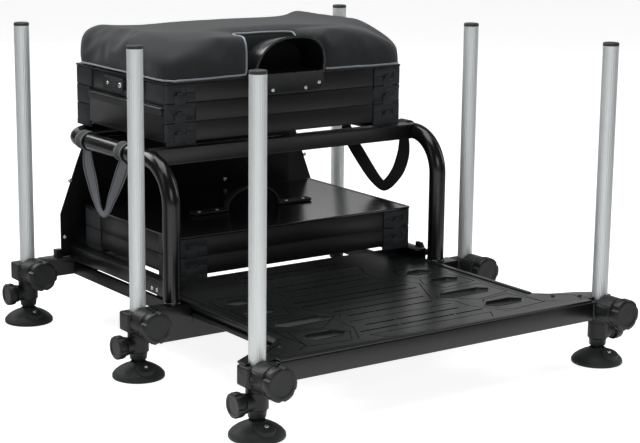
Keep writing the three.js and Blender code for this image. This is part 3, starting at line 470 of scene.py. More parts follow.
# Webbing: the spacing of its cross ribs, its cords across the width, and the place and width of the lines near
# its edges, as shares of its width.
WEBBING_RIB = 1.6 * MM
WEBBING_CORDS = 11
WEBBING_EDGE_SHARE = 0.12
WEBBING_LINE_SHARE = 0.05


def strap_webbing(name, colour, edge):
    """Woven webbing read along the strap: cross ribs, with a line of another colour near each edge."""
    mix = Mix(name, colour, 0.85)
    mix.shader.inputs["Sheen Weight"].default_value = 0.25
    uv = mix.node("ShaderNodeUVMap", uv_map="strap").outputs["UV"]
    parts = mix.node("ShaderNodeSeparateXYZ")
    mix.wire(uv, parts.inputs["Vector"])
    across = mix.maths("ABSOLUTE", mix.maths("SUBTRACT", parts.outputs["X"], 0.5))
    line_middle = 0.5 - WEBBING_EDGE_SHARE
    offset = mix.maths("ABSOLUTE", mix.maths("SUBTRACT", across, line_middle))
    line = mix.range(offset, 1, 0, WEBBING_LINE_SHARE * 0.6, WEBBING_LINE_SHARE)
    ribs = mix.maths("SINE", mix.maths("MULTIPLY", parts.outputs["Y"], 2 * math.pi / WEBBING_RIB))
    cords = mix.maths("SINE", mix.maths("MULTIPLY", parts.outputs["X"], 2 * math.pi * WEBBING_CORDS))
    weave = mix.range(mix.maths("MULTIPLY", ribs, cords), 0, 1, -1, 1)
    lighter = tuple(min(part * 1.18, 1) for part in colour)
    darker = tuple(part * 0.8 for part in colour)
    woven = mix.blend(weave, darker, lighter)
    mix.wire(mix.blend(line, woven, edge), mix.shader.inputs["Base Color"])
    mix.bump(weave, 0.5, 0.25 * MM)
    return mix.material


# The floor's glow: its strength to the camera, then what shiny pieces mirror of it, as the distances over which
# it fades from the middle, the places along y over which it fades to the back, and the bright part on the
# camera's side, as a direction and the cosines between which it fades out.
FLOOR_COLOUR = (0.5, 0.5, 0.5)
FLOOR_GLOW = 0.88
GLOW_NEAR = (0.6, 1.15)
GLOW_AHEAD = (-0.45, 0.35)
POOL_WAY = (-0.58, -0.81, 0)
POOL_SPREAD = (0.55, 0.85)


def studio_floor(name, colour, glow):
    """A pale floor that reads white to the camera and still takes the shadow."""
    mix = Mix(name, colour, 0.9)
    mix.shader.inputs["Specular IOR Level"].default_value = 0.1
    rays = mix.node("ShaderNodeLightPath")
    reach = mix.node("ShaderNodeVectorMath", operation="LENGTH")
    mix.wire(mix.places, reach.inputs[0])
    parts = mix.node("ShaderNodeSeparateXYZ")
    mix.wire(mix.places, parts.inputs["Vector"])
    near = mix.range(reach.outputs["Value"], 1, 0.05, *GLOW_NEAR)
    ahead = mix.range(parts.outputs["Y"], 1, 0.1, *GLOW_AHEAD)
    toward = mix.node("ShaderNodeVectorMath", operation="NORMALIZE")
    mix.wire(mix.places, toward.inputs[0])
    facing = mix.node("ShaderNodeVectorMath", operation="DOT_PRODUCT")
    mix.wire(toward.outputs["Vector"], facing.inputs[0])
    facing.inputs[1].default_value = POOL_WAY
    pool = mix.range(facing.outputs["Value"], 0, 1, *POOL_SPREAD)
    lit = mix.maths("MAXIMUM", mix.maths("MULTIPLY", near, ahead), pool)
    mirrored = mix.maths("MULTIPLY", rays.outputs["Is Glossy Ray"], lit)
    seen = mix.maths("MAXIMUM", rays.outputs["Is Camera Ray"], mirrored)
    mix.wire(mix.maths("MULTIPLY", seen, glow), mix.shader.inputs["Emission Strength"])
    mix.shader.inputs["Emission Color"].default_value = (1, 1, 1, 1)
    return mix.material


class SeatBoxColours(bpy.types.PropertyGroup):
    """Colours of the finishes, in linear light."""

    frame_paint: FloatVectorProperty(
        name="Frame Paint", description="Gloss coat on the bent tube and rails",
        subtype="COLOR", size=3, min=0, max=1, default=(0.0045, 0.0048, 0.0048),
    )
    casting: FloatVectorProperty(
        name="Castings", description="Corner castings and foot collars",
        subtype="COLOR", size=3, min=0, max=1, default=(0.0115, 0.0125, 0.0125),
    )
    tray: FloatVectorProperty(
        name="Trays", description="Panels of the trays and drawers",
        subtype="COLOR", size=3, min=0, max=1, default=(0.0062, 0.0066, 0.0056),
    )
    corner: FloatVectorProperty(
        name="Corner Blocks", description="Corner blocks with the stacking catches",
        subtype="COLOR", size=3, min=0, max=1, default=(0.0175, 0.0215, 0.0245),
    )
    deck: FloatVectorProperty(
        name="Footplate", description="Textured coat of the footplate",
        subtype="COLOR", size=3, min=0, max=1, default=(0.0095, 0.0112, 0.0108),
    )
    leg: FloatVectorProperty(
        name="Legs", description="Bright leg tubes",
        subtype="COLOR", size=3, min=0, max=1, default=(0.92, 0.96, 0.96),
    )
    rubber: FloatVectorProperty(
        name="Feet", description="Rubber of the mud feet",
        subtype="COLOR", size=3, min=0, max=1, default=(0.03, 0.035, 0.035),
    )
    cloth: FloatVectorProperty(
        name="Cushion", description="Seat cloth",
        subtype="COLOR", size=3, min=0, max=1, default=(0.0215, 0.0255, 0.027),
    )
    piping: FloatVectorProperty(
        name="Piping", description="Piping round the cushion",
        subtype="COLOR", size=3, min=0, max=1, default=(0.36, 0.39, 0.44),
    )


class SeatBoxSizes(bpy.types.PropertyGroup):
    """Sizes that a user may change."""

    edge: FloatProperty(
        name="Edge Rounding", description="Rounding of the moulded and folded edges",
        unit="LENGTH", default=0.6 * MM, min=0.1 * MM, max=2 * MM,
    )
    leg_flutes: IntProperty(
        name="Leg Flutes", description="Flutes round each leg tube", default=24, min=8, max=60,
    )
    cloth_lift: FloatProperty(
        name="Cushion Swell", description="Most that the cushion's cloth may move as it swells",
        unit="LENGTH", default=6 * MM, min=0, max=20 * MM,
    )
    piping_radius: FloatProperty(
        name="Piping Radius", description="Radius of the cushion's piping",
        unit="LENGTH", default=1.7 * MM, min=0.5 * MM, max=4 * MM,
    )


def colours():
    return bpy.context.scene.seat_box_colours


def sizes():
    return bpy.context.scene.seat_box_sizes


# Finishes as (maker, colour, further values), where a colour that a user may set goes by its name.
FINISH_KINDS = {
    "frame_paint": (coated_metal, "frame_paint", 0.2),
    "rail_paint": (coated_metal, "frame_paint", 0.3),
    # the back panel's near-black coat, set darker than the frame's coat: partly its own paint, partly painted
    # shade where it sits under the box
    "panel_paint": (coated_metal, (0.0024, 0.0027, 0.0025), 0.45, 0.12),
    "anodised": (coated_metal, (0.03, 0.032, 0.033), 0.38),
    "lid": (coated_metal, (0.0085, 0.0092, 0.009), 0.16, 0.58),
    "drawer": (moulded_plastic, "tray", 0.3, 0.19),
    "casting": (moulded_plastic, "casting", 0.46, 0.42, 1500, 0.05 * MM),
    "knob": (moulded_plastic, "casting", 0.42),
    "tray": (moulded_plastic, "tray", 0.36),
    "corner": (moulded_plastic, "corner", 0.5),
    "deck": (moulded_plastic, "deck", 0.3, 0.5, 900, 0.05 * MM),
    "cap": (moulded_plastic, (0.04, 0.042, 0.042), 0.5),
    "scoop": (moulded_plastic, (0.014, 0.015, 0.0155), 0.27, 0.6),
    # the near-black sheet inside the hood: painted shade in its hollow
    "throat": (moulded_plastic, (0.003, 0.003, 0.003), 0.6, 0.1),
    "leg": (ribbed_aluminium, "leg", 0.4),
    "steel": (plated_steel, (0.72, 0.73, 0.72), 0.25),
    "rubber": (soft_rubber, "rubber", 0.6),
    "handle": (soft_rubber, (0.022, 0.024, 0.024), 0.5),
    "cloth": (seat_cloth, "cloth", 0.78),
    "piping": (piping_cord, "piping", 0.6),
    "grey_webbing": (strap_webbing, (0.23, 0.24, 0.26), (0.035, 0.037, 0.042)),
    "black_webbing": (strap_webbing, (0.02, 0.02, 0.021), (0.012, 0.012, 0.013)),
    "loop_webbing": (strap_webbing, (0.03, 0.031, 0.034), (0.22, 0.23, 0.25)),
}
FINISHES = {}


def finish(name):
    """The material of a named finish, made once."""
    if name not in FINISHES:
        maker, colour, *values = FINISH_KINDS[name]
        tone = getattr(colours(), colour) if isinstance(colour, str) else colour
        FINISHES[name] = maker(name, tone, *values)
    return FINISHES[name]


# Small fasteners that several pieces carry

SCREW_SIDES = 20
SOCKET_SIDES = 6
# Screw heads as (radius, height).
SCREW_SIZES = {
    "rail": (3.2 * MM, 2 * MM),
    "panel": (3.6 * MM, 2.4 * MM),
    "deck": (3.4 * MM, 1.6 * MM),
    "catch": (3.4 * MM, 1.8 * MM),
    "handle": (3.6 * MM, 1.6 * MM),
    "clip": (3 * MM, 1.8 * MM),
    "pivot": (4.4 * MM, 2.2 * MM),
    "scoop": (3.2 * MM, 1.8 * MM),
    "foot": (3.4 * MM, 2.2 * MM),
}


def screw_head(radius, height):
    """A button head with a hexagon socket, drawn round z with its seat at zero."""
    head = turned(
        [
            (radius, -0.2 * height),
            (radius, 0.35 * height),
            (radius * 0.86, 0.75 * height),
            (radius * 0.6, height),
        ],
        SCREW_SIDES,
    )
    socket = rod(radius * 0.4, height * 0.35, height * 2, sides=SOCKET_SIDES)
    return smooth(cut(head, socket), 50)


def screws(name, body, places, axis, size, flip=False, material="steel"):
    """Like screws on one body, in one object."""
    first = screw_head(*SCREW_SIZES[size])
    made = [lay(copy_of(first), axis, place, flip) for place in places]
    bpy.data.objects.remove(first)
    return dress(gather(made), name, body, finish(material))


# The leg units, drawn on the right-hand side round a leg axis at x = y = 0

LEG_RADIUS = 12.5 * MM
RAIL_LOW = 76 * MM
RAIL_HIGH = 106 * MM
RAIL_HALF = 15 * MM
CASTING_IN = 27 * MM
CASTING_OUT = 25 * MM
BOSS_RADIUS = 23 * MM
BOSS_HEIGHT = 91 * MM
BOSS_LENGTH = 29 * MM
GAP = 0.3 * MM
CAP_HEIGHT = 5 * MM
CAP_OVERHANG = 0.2 * MM
TUBE_END_DEPTH = 3 * MM
FLUTE_SHARE = 0.972
TUBE_WALL = 1.6 * MM
CASTING_ROUNDING = 3 * MM
CASTING_END_INSET = 2.5 * MM
CASTING_EDGE = 0.4 * MM
CASTING_BORDER = 1.5 * MM
CASTING_SINK = 1.2 * MM
COLLAR_ROOM = 17.3 * MM
COLLAR_SEAT = 44 * MM
KNOB_EDGE = 0.8 * MM
KEY_EDGE = 0.7 * MM
KNOB_AXIS = 52 * MM
COLLAR_RADIUS = 16.5 * MM
BALL_RADIUS = 9 * MM
BALL_HEIGHT = 18 * MM
BALL_TURNS = (0.25, 0.6, 1.0, 1.4, 1.8, 2.2)


def leg_tube():
    """A fluted tube whose top end is sunk inside its wall."""
    low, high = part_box("mid_right_leg")
    shoulder = high.z - CAP_HEIGHT
    flutes = sizes().leg_flutes
    tube = rod(LEG_RADIUS, low.z, shoulder, sides=flutes * 4)
    with shaping(tube):
        step = 2 * math.pi / flutes
        choose(tube, "VERT", lambda at, _: (math.atan2(at.y, at.x) + step / 8) % step < step / 4)
        bpy.ops.transform.resize(value=(FLUTE_SHARE, FLUTE_SHARE, 1), center_override=(0, 0, 0))
        choose(tube, "FACE", lambda at, normal: normal.z > 0.9)
        bpy.ops.mesh.inset(thickness=TUBE_WALL)
        push((0, 0, -TUBE_END_DEPTH))
    return smooth(tube, 30)


def leg_cap():
    _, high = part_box("mid_right_leg")
    radius = LEG_RADIUS + CAP_OVERHANG
    cap = turned(
        [
            (radius, high.z - CAP_HEIGHT),
            (radius, high.z - 1.5 * MM),
            (radius - 0.45 * MM, high.z - 0.45 * MM),
            (radius - 1.5 * MM, high.z),
            (radius - 3.2 * MM, high.z),
            (radius - 3.8 * MM, high.z - 0.7 * MM),
        ]
    )
    return smooth(cap, 50)


def corner_casting():
    """A square sleeve with a sunk end, an end cap and a round boss."""
    body = block((-CASTING_IN, -RAIL_HALF, RAIL_LOW), (CASTING_OUT, RAIL_HALF, RAIL_HIGH))
    soften(body, CASTING_ROUNDING, 3)
    cap = block(
        (CASTING_OUT - 5 * MM, -RAIL_HALF + CASTING_END_INSET, RAIL_LOW + CASTING_END_INSET),
        (CASTING_OUT, RAIL_HALF - CASTING_END_INSET, RAIL_HIGH - CASTING_END_INSET),
    )
    with shaping(body):
        choose(body, "FACE", lambda at, normal: normal.x > 0.95)
        bpy.ops.mesh.inset(thickness=CASTING_BORDER)
        push((-CASTING_SINK, 0, 0))
    soften(cap, 1 * MM, 2)
    face = -RAIL_HALF - BOSS_LENGTH
    boss = turned(
        [
            (BOSS_RADIUS - 1.2 * MM, 0),
            (BOSS_RADIUS, 1.2 * MM),
            (BOSS_RADIUS, 40 * MM),
            (BOSS_RADIUS, 42 * MM),
        ],
        64,
    )
    lay(boss, "Y", (0, face, BOSS_HEIGHT))
    under = BOSS_HEIGHT - BOSS_RADIUS - SHORT_OVERRUN
    behind = block((-FAR, -RAIL_HALF + GAP, under), (FAR, FAR, RAIL_LOW))
    over = block((-FAR, -RAIL_HALF + GAP, RAIL_HIGH), (FAR, FAR, RAIL_HIGH + LONG_OVERRUN))
    cut(boss, behind, over)
    collar_room = rod(COLLAR_ROOM, under - SHORT_OVERRUN, RAIL_LOW)
    casting = weld(body, cap, boss)
    cut(casting, collar_room, rod(LEG_RADIUS + GAP, under - OVERRUN, RAIL_HIGH + LONG_OVERRUN, sides=64))
    soften(casting, CASTING_EDGE, 2, 40)
    return smooth(casting, 40)


KNOB_LOBES = 6
# Knobs as (radius, depth, neck radius, neck length).
CLAMP_KNOB = (25 * MM, 18.5 * MM, 19 * MM, 1.2 * MM)
FOOT_KNOB = (18.5 * MM, 14.5 * MM, 11 * MM, 1.2 * MM)
FOOT_KNOB_FACE = 25.3 * MM


def lobed_knob(radius, depth, neck_radius, neck_length):
    """A grip with round flutes cut in its rim and a bare dished face, drawn towards +z."""
    top = neck_length + depth
    knob = turned(
        [
            (neck_radius, 0),
            (neck_radius, neck_length),
            (radius * 0.8, neck_length + 0.4 * MM),
            (radius * 0.96, neck_length + 2.2 * MM),
            (radius, neck_length + 4.5 * MM),
            (radius, top - 2.2 * MM),
            (radius * 0.97, top - 0.8 * MM),
            (radius * 0.9, top),
            (radius * 0.72, top),
            (radius * 0.69, top - 1.1 * MM),
            (radius * 0.3, top - 0.8 * MM),
        ],
        72,
    )
    for lobe in range(KNOB_LOBES):
        turn = 2 * math.pi * (lobe + 0.5) / KNOB_LOBES
        reach = radius * 1.13
        centre = (reach * math.cos(turn), reach * math.sin(turn), 0)
        cut(knob, rod(radius * 0.24, neck_length + 3 * MM, top + 2 * MM, centre=centre, sides=28))
    soften(knob, KNOB_EDGE, 3, 40)
    return smooth(knob, 45)


def foot_collar():
    """A socket under the leg with a waist, a side boss with its flange and a ball stud."""
    top = RAIL_LOW - GAP
    body = turned(
        [
            (7 * MM, 23.6 * MM),
            (7 * MM, 29 * MM),
            (12.4 * MM, 29 * MM),
            (13 * MM, 29.8 * MM),
            (14.2 * MM, 40 * MM),
            (15.6 * MM, 41 * MM),
            (COLLAR_RADIUS, 42 * MM),
            (COLLAR_RADIUS, 66.5 * MM),
            (COLLAR_RADIUS - 0.5 * MM, 67 * MM),
            (COLLAR_RADIUS - 0.5 * MM, 67.8 * MM),
            (COLLAR_RADIUS, 68.3 * MM),
            (COLLAR_RADIUS, top - 1 * MM),
            (15.6 * MM, top),
        ],
        64,
    )
    boss = turned(
        [
            (13.5 * MM, 4 * MM),
            (13.5 * MM, 20.4 * MM),
            (14.3 * MM, 21 * MM),
            (14.8 * MM, 21.7 * MM),
            (14.8 * MM, 24.3 * MM),
            (14.2 * MM, 25 * MM),
            (10 * MM, 25 * MM),
        ]
    )
    lay(boss, "X", (0, 0, KNOB_AXIS))
    collar = weld(body, boss)
    cut(collar, rod(LEG_RADIUS + GAP, COLLAR_SEAT, top + OVERRUN, sides=64))
    soften(collar, CASTING_EDGE, 2, 45)
    ball = turned(
        [(BALL_RADIUS * math.sin(t), BALL_HEIGHT - BALL_RADIUS * math.cos(t)) for t in BALL_TURNS]
        + [(7 * MM, 25 * MM)],
        32,
    )
    return smooth(gather([collar, ball]), 40)


FOOT_RADIUS = 41 * MM
FOOT_KEY_TURN = math.radians(-83)
FOOT_KEY_TILT = math.radians(22)
FOOT_KEY_PLACE = (25 * MM, 0, 15.5 * MM)
FOOT_KEY_INNER = 13 * MM
FOOT_KEY_OUTER = 37.2 * MM
FOOT_KEY_LOW = 1.5 * MM
FOOT_SCREW_PLACE = (25 * MM, -2 * MM, 21.6 * MM)


def mud_foot():
    """A dished plate with a rim, a hub round the ball and a raised key in front."""
    plate = turned(
        [
            (38.5 * MM, 0),
            (40.3 * MM, 0.2 * MM),
            (FOOT_RADIUS, 1.2 * MM),
            (FOOT_RADIUS, 4.4 * MM),
            (40.3 * MM, 6.4 * MM),
            (37 * MM, 10.4 * MM),
            (31.5 * MM, 14.6 * MM),
            (24 * MM, 18.8 * MM),
            (16 * MM, 21.8 * MM),
            (14 * MM, 23 * MM),
            (13 * MM, 24.6 * MM),
            (12 * MM, 25 * MM),
            (11 * MM, 24.2 * MM),
            (10.2 * MM, 22 * MM),
            (9.6 * MM, 18 * MM),
            (7 * MM, 12 * MM),
        ],
        72,
    )
    smooth(plate, 60)
    key = turned(
        [
            (14.5 * MM, -8 * MM),
            (14.5 * MM, 4.4 * MM),
            (13.6 * MM, 5.6 * MM),
            (10 * MM, 6.1 * MM),
            (5 * MM, 6.3 * MM),
        ],
        40,
    )
    key.scale = (0.95, 1, 1)
    key.rotation_euler = (0, FOOT_KEY_TILT, 0)
    key.location = FOOT_KEY_PLACE
    settle(key)
    floor = block((-FAR, -FAR, -LONG_OVERRUN), (FAR, FAR, FOOT_KEY_LOW))
    beyond = rod(FAR, -LONG_OVERRUN, FAR, sides=64)
    cut(beyond, rod(FOOT_KEY_OUTER, -LONG_OVERRUN - OVERRUN, FAR + OVERRUN, sides=64))
    cut(key, floor, beyond, rod(FOOT_KEY_INNER, -LONG_OVERRUN, FAR, sides=32))
    soften(key, KEY_EDGE, 2, 30)
    smooth(key, 40)
    key.rotation_euler = (0, 0, FOOT_KEY_TURN)
    settle(key)
    return smooth(gather([plate, key]), 45)


def foot_screw():
    """The screw through the foot's key."""
    screw = screw_head(*SCREW_SIZES["foot"])
    screw.rotation_euler = (0, FOOT_KEY_TILT, 0)
    screw.location = FOOT_SCREW_PLACE
    settle(screw)
    screw.rotation_euler = (0, 0, FOOT_KEY_TURN)
    return settle(screw)


def put_in_six_places(model, kind, material, extra=""):
    """Copies a right-hand model to all six leg places and removes the model."""
    for place in PLACES:
        for side, sign in SIDES.items():
            axis = node_middle(f"{place}_{side}_leg")
            made = copy_of(model, (axis.x, axis.y, 0), mirror=sign < 0)
            node = f"{place}_{side}_{kind}"
            name = f"{node}{extra or '_form'}"
            dress(made, name, body_of(node), finish(material), () if extra else [node])
    bpy.data.objects.remove(model)


class BuildLegs(bpy.types.Operator):
    """Makes the six fluted leg tubes and their end caps"""

    bl_idname = "seat_box.legs"
    bl_label = "Legs"

    def execute(self, context):
        put_in_six_places(leg_tube(), "leg", "leg")
        put_in_six_places(leg_cap(), "leg", "cap", "_cap")
        return {"FINISHED"}


class BuildCastings(bpy.types.Operator):
    """Makes the six corner castings that clamp the legs"""

    bl_idname = "seat_box.castings"
    bl_label = "Corner Castings"

    def execute(self, context):
        put_in_six_places(corner_casting(), "corner_casting", "casting")
        return {"FINISHED"}


class BuildKnobs(bpy.types.Operator):
    """Makes the clamp knobs and the foot knobs"""

    bl_idname = "seat_box.knobs"
    bl_label = "Knobs"

    def execute(self, context):
        clamp = lobed_knob(*CLAMP_KNOB)
        face = -RAIL_HALF - BOSS_LENGTH - GAP
        lay(clamp, "Y", (0, face, BOSS_HEIGHT), flip=True)
        put_in_six_places(clamp, "clamp_knob", "knob")
        foot = lobed_knob(*FOOT_KNOB)
        lay(foot, "X", (FOOT_KNOB_FACE, 0, KNOB_AXIS))
        put_in_six_places(foot, "foot_knob", "knob")
        return {"FINISHED"}


class BuildFeet(bpy.types.Operator):
    """Makes the foot collars, the mud feet and their screws"""

    bl_idname = "seat_box.feet"
    bl_label = "Feet"

    def execute(self, context):
        put_in_six_places(foot_collar(), "foot_collar", "casting")
        put_in_six_places(mud_foot(), "mud_foot", "rubber")
        put_in_six_places(foot_screw(), "mud_foot", "steel", "_screw")
        return {"FINISHED"}


# The bent seat frame

TUBE_RADIUS = 14 * MM
TUBE_BEND = 66 * MM
TUBE_HALF_TRACK = 264 * MM
TUBE_SIDES = 40
TUBE_BEND_STEPS = 20
TUBE_MERGE = 0.01 * MM
POST_Y = LEG_AXIS_Y + 4 * MM


def frame_tube():
    """One round tube, drawn up the left post, along the side, across the back and down again."""
    low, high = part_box("seat_frame_tube")
    top = high.z - TUBE_RADIUS
    back = high.y - TUBE_RADIUS
    x = TUBE_HALF_TRACK
    foot = low.z
    deselect()
    bpy.ops.mesh.primitive_circle_add(
        vertices=TUBE_SIDES, radius=TUBE_RADIUS, fill_type="NGON", location=(-x, POST_Y, foot)
    )
    tube = settle(bpy.context.object)
    with shaping(tube):
        bpy.ops.mesh.select_mode(type="FACE")
        bpy.ops.mesh.select_all(action="SELECT")
        push((0, 0, top - TUBE_BEND - foot))
        spin_bend((-x, POST_Y + TUBE_BEND, top - TUBE_BEND), (-1, 0, 0))
        push((0, back - POST_Y - 2 * TUBE_BEND, 0))
        spin_bend((-x + TUBE_BEND, back - TUBE_BEND, top), (0, 0, -1))
        push((2 * (x - TUBE_BEND), 0, 0))
        spin_bend((x - TUBE_BEND, back - TUBE_BEND, top), (0, 0, -1))
        push((0, -(back - POST_Y - 2 * TUBE_BEND), 0))
        spin_bend((x, POST_Y + TUBE_BEND, top - TUBE_BEND), (1, 0, 0))
        push((0, 0, -(top - TUBE_BEND - foot)))
        bpy.ops.mesh.select_all(action="SELECT")
        bpy.ops.mesh.remove_doubles(threshold=TUBE_MERGE)
        bpy.ops.mesh.normals_make_consistent(inside=False)
    return smooth(tube, 50)


def spin_bend(centre, axis):
    """Spins the selected end face a quarter turn about an axis through a centre."""
    bpy.ops.mesh.spin(
        steps=TUBE_BEND_STEPS, angle=-math.pi / 2, center=centre, axis=axis, use_auto_merge=False
    )


def weld_ring():
    """The collar at a post's foot."""
    low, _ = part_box("seat_frame_tube")
    ring = turned(
        [
            (15.4 * MM, low.z),
            (15.5 * MM, low.z + 1 * MM),
            (15.2 * MM, low.z + 2.6 * MM),
            (14.4 * MM, low.z + 4 * MM),
            (13.5 * MM, low.z + 4.2 * MM),
        ],
        TUBE_SIDES,
    )
    return smooth(ring, 50)


class BuildFrameTube(bpy.types.Operator):
    """Makes the bent tube of the seat frame with the weld collars at its feet"""

    bl_idname = "seat_box.frame_tube"
    bl_label = "Seat Frame"

    def execute(self, context):
        ring = weld_ring()
        rings = [copy_of(ring, (sign * TUBE_HALF_TRACK, POST_Y, 0)) for sign in SIDES.values()]
        bpy.data.objects.remove(ring)
        tube = gather([frame_tube(), *rings])
        dress(tube, "seat_frame_form", "base", finish("frame_paint"), ["seat_frame_tube"])
        return {"FINISHED"}


def depth(length):
    """A place along y, counted in mm back from the axis of the middle legs."""
    return LEG_AXIS_Y + length * MM


MERGE_REACH = 0.005 * MM
FLAT_ANGLE = math.radians(1)


def dressed(node, name, material, width=0.5 * MM, segments=2, angle=30):
    """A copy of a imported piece, merged, freed of its flat triangles and given rounded edges."""
    source = frame["nodes"][node]
    double = bpy.data.objects.new(name, source.data.copy())
    bpy.context.scene.collection.objects.link(double)
    double.matrix_world = source.matrix_world.copy()
    settle(double)
    with shaping(double):
        bpy.ops.mesh.select_all(action="SELECT")
        bpy.ops.mesh.remove_doubles(threshold=MERGE_REACH)
        bpy.ops.mesh.dissolve_limited(angle_limit=FLAT_ANGLE)
        bpy.ops.mesh.normals_make_consistent(inside=False)
    soften(double, width, segments, angle)
    return dress(smooth(double, 45), name, body_of(node), finish(material), [node])


def placed(model, place, flip_x=False, flip_y=False):
    """A copy of a model, turned into its mirror image across x or y if asked, and moved."""
    double = twin(model)
    double.scale = (-1 if flip_x else 1, -1 if flip_y else 1, 1)
    double.location = place
    settle(double)
    if flip_x != flip_y:
        with shaping(double):
            bpy.ops.mesh.select_all(action="SELECT")
            bpy.ops.mesh.flip_normals()
    return double


def remove(*pieces):
    for piece in pieces:
        bpy.data.objects.remove(piece)


# The welded and folded metal

RAIL_SCREW_START = 52 * MM
RAIL_SCREW_STEP = 16 * MM
RAIL_SCREW_RISE = 8 * MM
PANEL_FRONT = 371.3
# The back panel's bolts as (x, how far the panel's face is behind its front there, height), in mm.
PANEL_BOLTS = [(65, 0, 211), (246, 6, 239), (258, 6, 141)]


class BuildFrame(bpy.types.Operator):
    """Dresses the welded rails, the cross bar, the cassette rails and the slide rails"""

    bl_idname = "seat_box.frame_rails"
    bl_label = "Frame Rails"

    def execute(self, context):
        edge = sizes().edge
        dressed("base_frame", "base_frame_form", "rail_paint", edge * 2, 3)
        dressed("front_rail", "front_rail_form", "rail_paint", edge * 2, 3)
        dressed("frame_cross_bar", "cross_bar_form", "rail_paint", edge, 2)
        for side in SIDES:
            dressed(f"slide_rail_{side}", f"slide_rail_{side}_form", "anodised", edge * 0.5)
            dressed(f"cassette_rail_{side}", f"cassette_rail_{side}_form", "rail_paint", edge * 0.6)
        rail_low, rail_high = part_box("cassette_rail_right")
        heads = [
            (rail_high.x, rail_low.y + RAIL_SCREW_START + step * RAIL_SCREW_STEP, rail_low.z + RAIL_SCREW_RISE)
            for step in (0, 1)
        ]
        screws("rail_screws_right", "base", heads, "X", "rail")
        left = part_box("cassette_rail_left")[0].x
        screws("rail_screws_left", "base", [(left, y, z) for _, y, z in heads], "X", "rail", flip=True)
        return {"FINISHED"}


class BuildBackPanel(bpy.types.Operator):
    """Dresses the folded back panel and bolts it to the frame"""

    bl_idname = "seat_box.back_panel"
    bl_label = "Back Panel"

    def execute(self, context):
        # its coat is set darker than the frame's, partly as painted shade under the box
        dressed("back_panel", "back_panel_form", "panel_paint", sizes().edge, 2, 12)
        places = [
            (sign * x * MM, depth(PANEL_FRONT) + back * MM, z * MM)
            for x, back, z in PANEL_BOLTS
            for sign in SIDES.values()
        ]
        screws("panel_bolts", "base", places, "Y", "panel", flip=True)
        return {"FINISHED"}


DECK_LOW = 106.3 * MM
DECK_TOP = 109.5 * MM
DECK_OUTLINE = [
    (247.5, 110), (247.5, -262), (268, -280), (311, -295), (349, -318), (349, -338), (298, -338), (298, -349),
]
# Cut-outs as (middle x, middle y, half length), each with its points to left and right.
DECK_HOLES = [(178.2, -57, 26), (181.9, -120, 30), (156.9, -201, 52), (173.3, -279, 38)]
DECK_HOLE_HALF_WIDTH = 14
DECK_COLLAR_DROP = 6.5 * MM
DECK_COLLAR_RISE = 0.6 * MM
# How far the plate's cut-out and the lip's outside stand off a cut-out's outline, in mm.
DECK_HOLE_GROWTH = 0.9
DECK_COLLAR_GROWTH = 1.9
DECK_LEG_ROOM = 13.5 * MM
# The raised rims at the deck's sides: their near and far edges, their ends, and how far they stand up.
DECK_RIM_X = (238.5 * MM, 247.5 * MM)
DECK_RIM_Y = (-262, 110)
DECK_RIM_RISE = 1.5 * MM
DECK_BOLTS = [(262, -296), (300, -318)]
# Shallow lines moulded in the right half of the deck, as lists of (x, y).
DECK_LINES = [
    [(100, 78), (122, 34), (98, -16), (98, -62), (135, -113), (89, -202), (112, -235), (112, -268), (143, -324)],
    [(150, -25), (216, -25), (222, -80), (150, -87), (138, -55), (150, -25)],
    [(150, -96), (216, -91), (222, -150), (150, -160), (138, -121), (150, -96)],
    [(137, -173), (219, -168), (221, -232), (150, -246), (99, -201), (137, -173)],
    [(154, -252), (212, -243), (228, -313), (155, -322), (129, -282), (154, -252)],
    [(230, 104), (230, -20), (232, -33), (226, -308), (247, -322)],
    [(250, -277), (297, -309), (289, -334)],
    [(0, -314), (116, -314), (101, -337)],
]
# Straight grooves across the middle of the deck, as (y, half length, width).
DECK_GROOVES = [
    (66, 96, 4), (38, 110, 4), (12, 100, 2), (-14, 88, 4), (-42, 84, 4), (-77, 98, 2), (-110, 110, 4),
    (-134, 112, 4), (-159, 98, 2), (-184, 86, 4), (-213, 80, 4), (-241, 98, 2), (-268, 88, 4), (-294, 116, 4),
]
# Where each groove runs between its breaks, in shares of its half length.
GROOVE_RUNS = [(-1, -0.42), (-0.36, 0.5), (0.56, 1)]
DECK_LINE_WIDTH = 1.8
DECK_LINE_DEPTH = 1.6 * MM
DECK_CUTTER = 4 * MM
DECK_COLLAR_EDGE = 0.45 * MM
DECK_RIM_EDGE = 0.7 * MM


def slab(outline, low, high):
    """A slab of a flat outline, given as (x, y) points in mm from the middle legs' axis."""
    deselect()
    bpy.ops.mesh.primitive_circle_add(vertices=len(outline), radius=1, fill_type="NGON", location=(0, 0, low))
    piece = settle(bpy.context.object)
    for point, (x, y) in zip(piece.data.vertices, outline):
        point.co = (x * MM, depth(y), low)
    with shaping(piece):
        bpy.ops.mesh.select_all(action="SELECT")
        push((0, 0, high - low))
        bpy.ops.mesh.select_all(action="SELECT")
        bpy.ops.mesh.normals_make_consistent(inside=False)
    return piece


def line_cutter(start, end, width):
    """A bar that cuts one moulded line of the deck."""
    a, b = Vector((start[0] * MM, depth(start[1]))), Vector((end[0] * MM, depth(end[1])))
    run = b - a
    turn = math.atan2(run.y, run.x)
    middle = (a + b) / 2
    deselect()
    bpy.ops.mesh.primitive_cube_add(
        size=1,
        location=(middle.x, middle.y, DECK_TOP + DECK_CUTTER / 2 - DECK_LINE_DEPTH),
        rotation=(0, 0, turn),
        scale=(run.length + width * 0.8 * MM, width * MM, DECK_CUTTER),
    )
    return settle(bpy.context.object)


def cut_out(x, y, half, grow):
    """The outline of one hexagonal cut-out of the deck, grown by a margin."""
    half, wide = half + grow, DECK_HOLE_HALF_WIDTH + grow
    shoulder = half - wide
    outline = [(x - half, y), (x - shoulder, y - wide), (x + shoulder, y - wide)]
    return outline + [(x + half, y), (x + shoulder, y + wide), (x - shoulder, y + wide)]


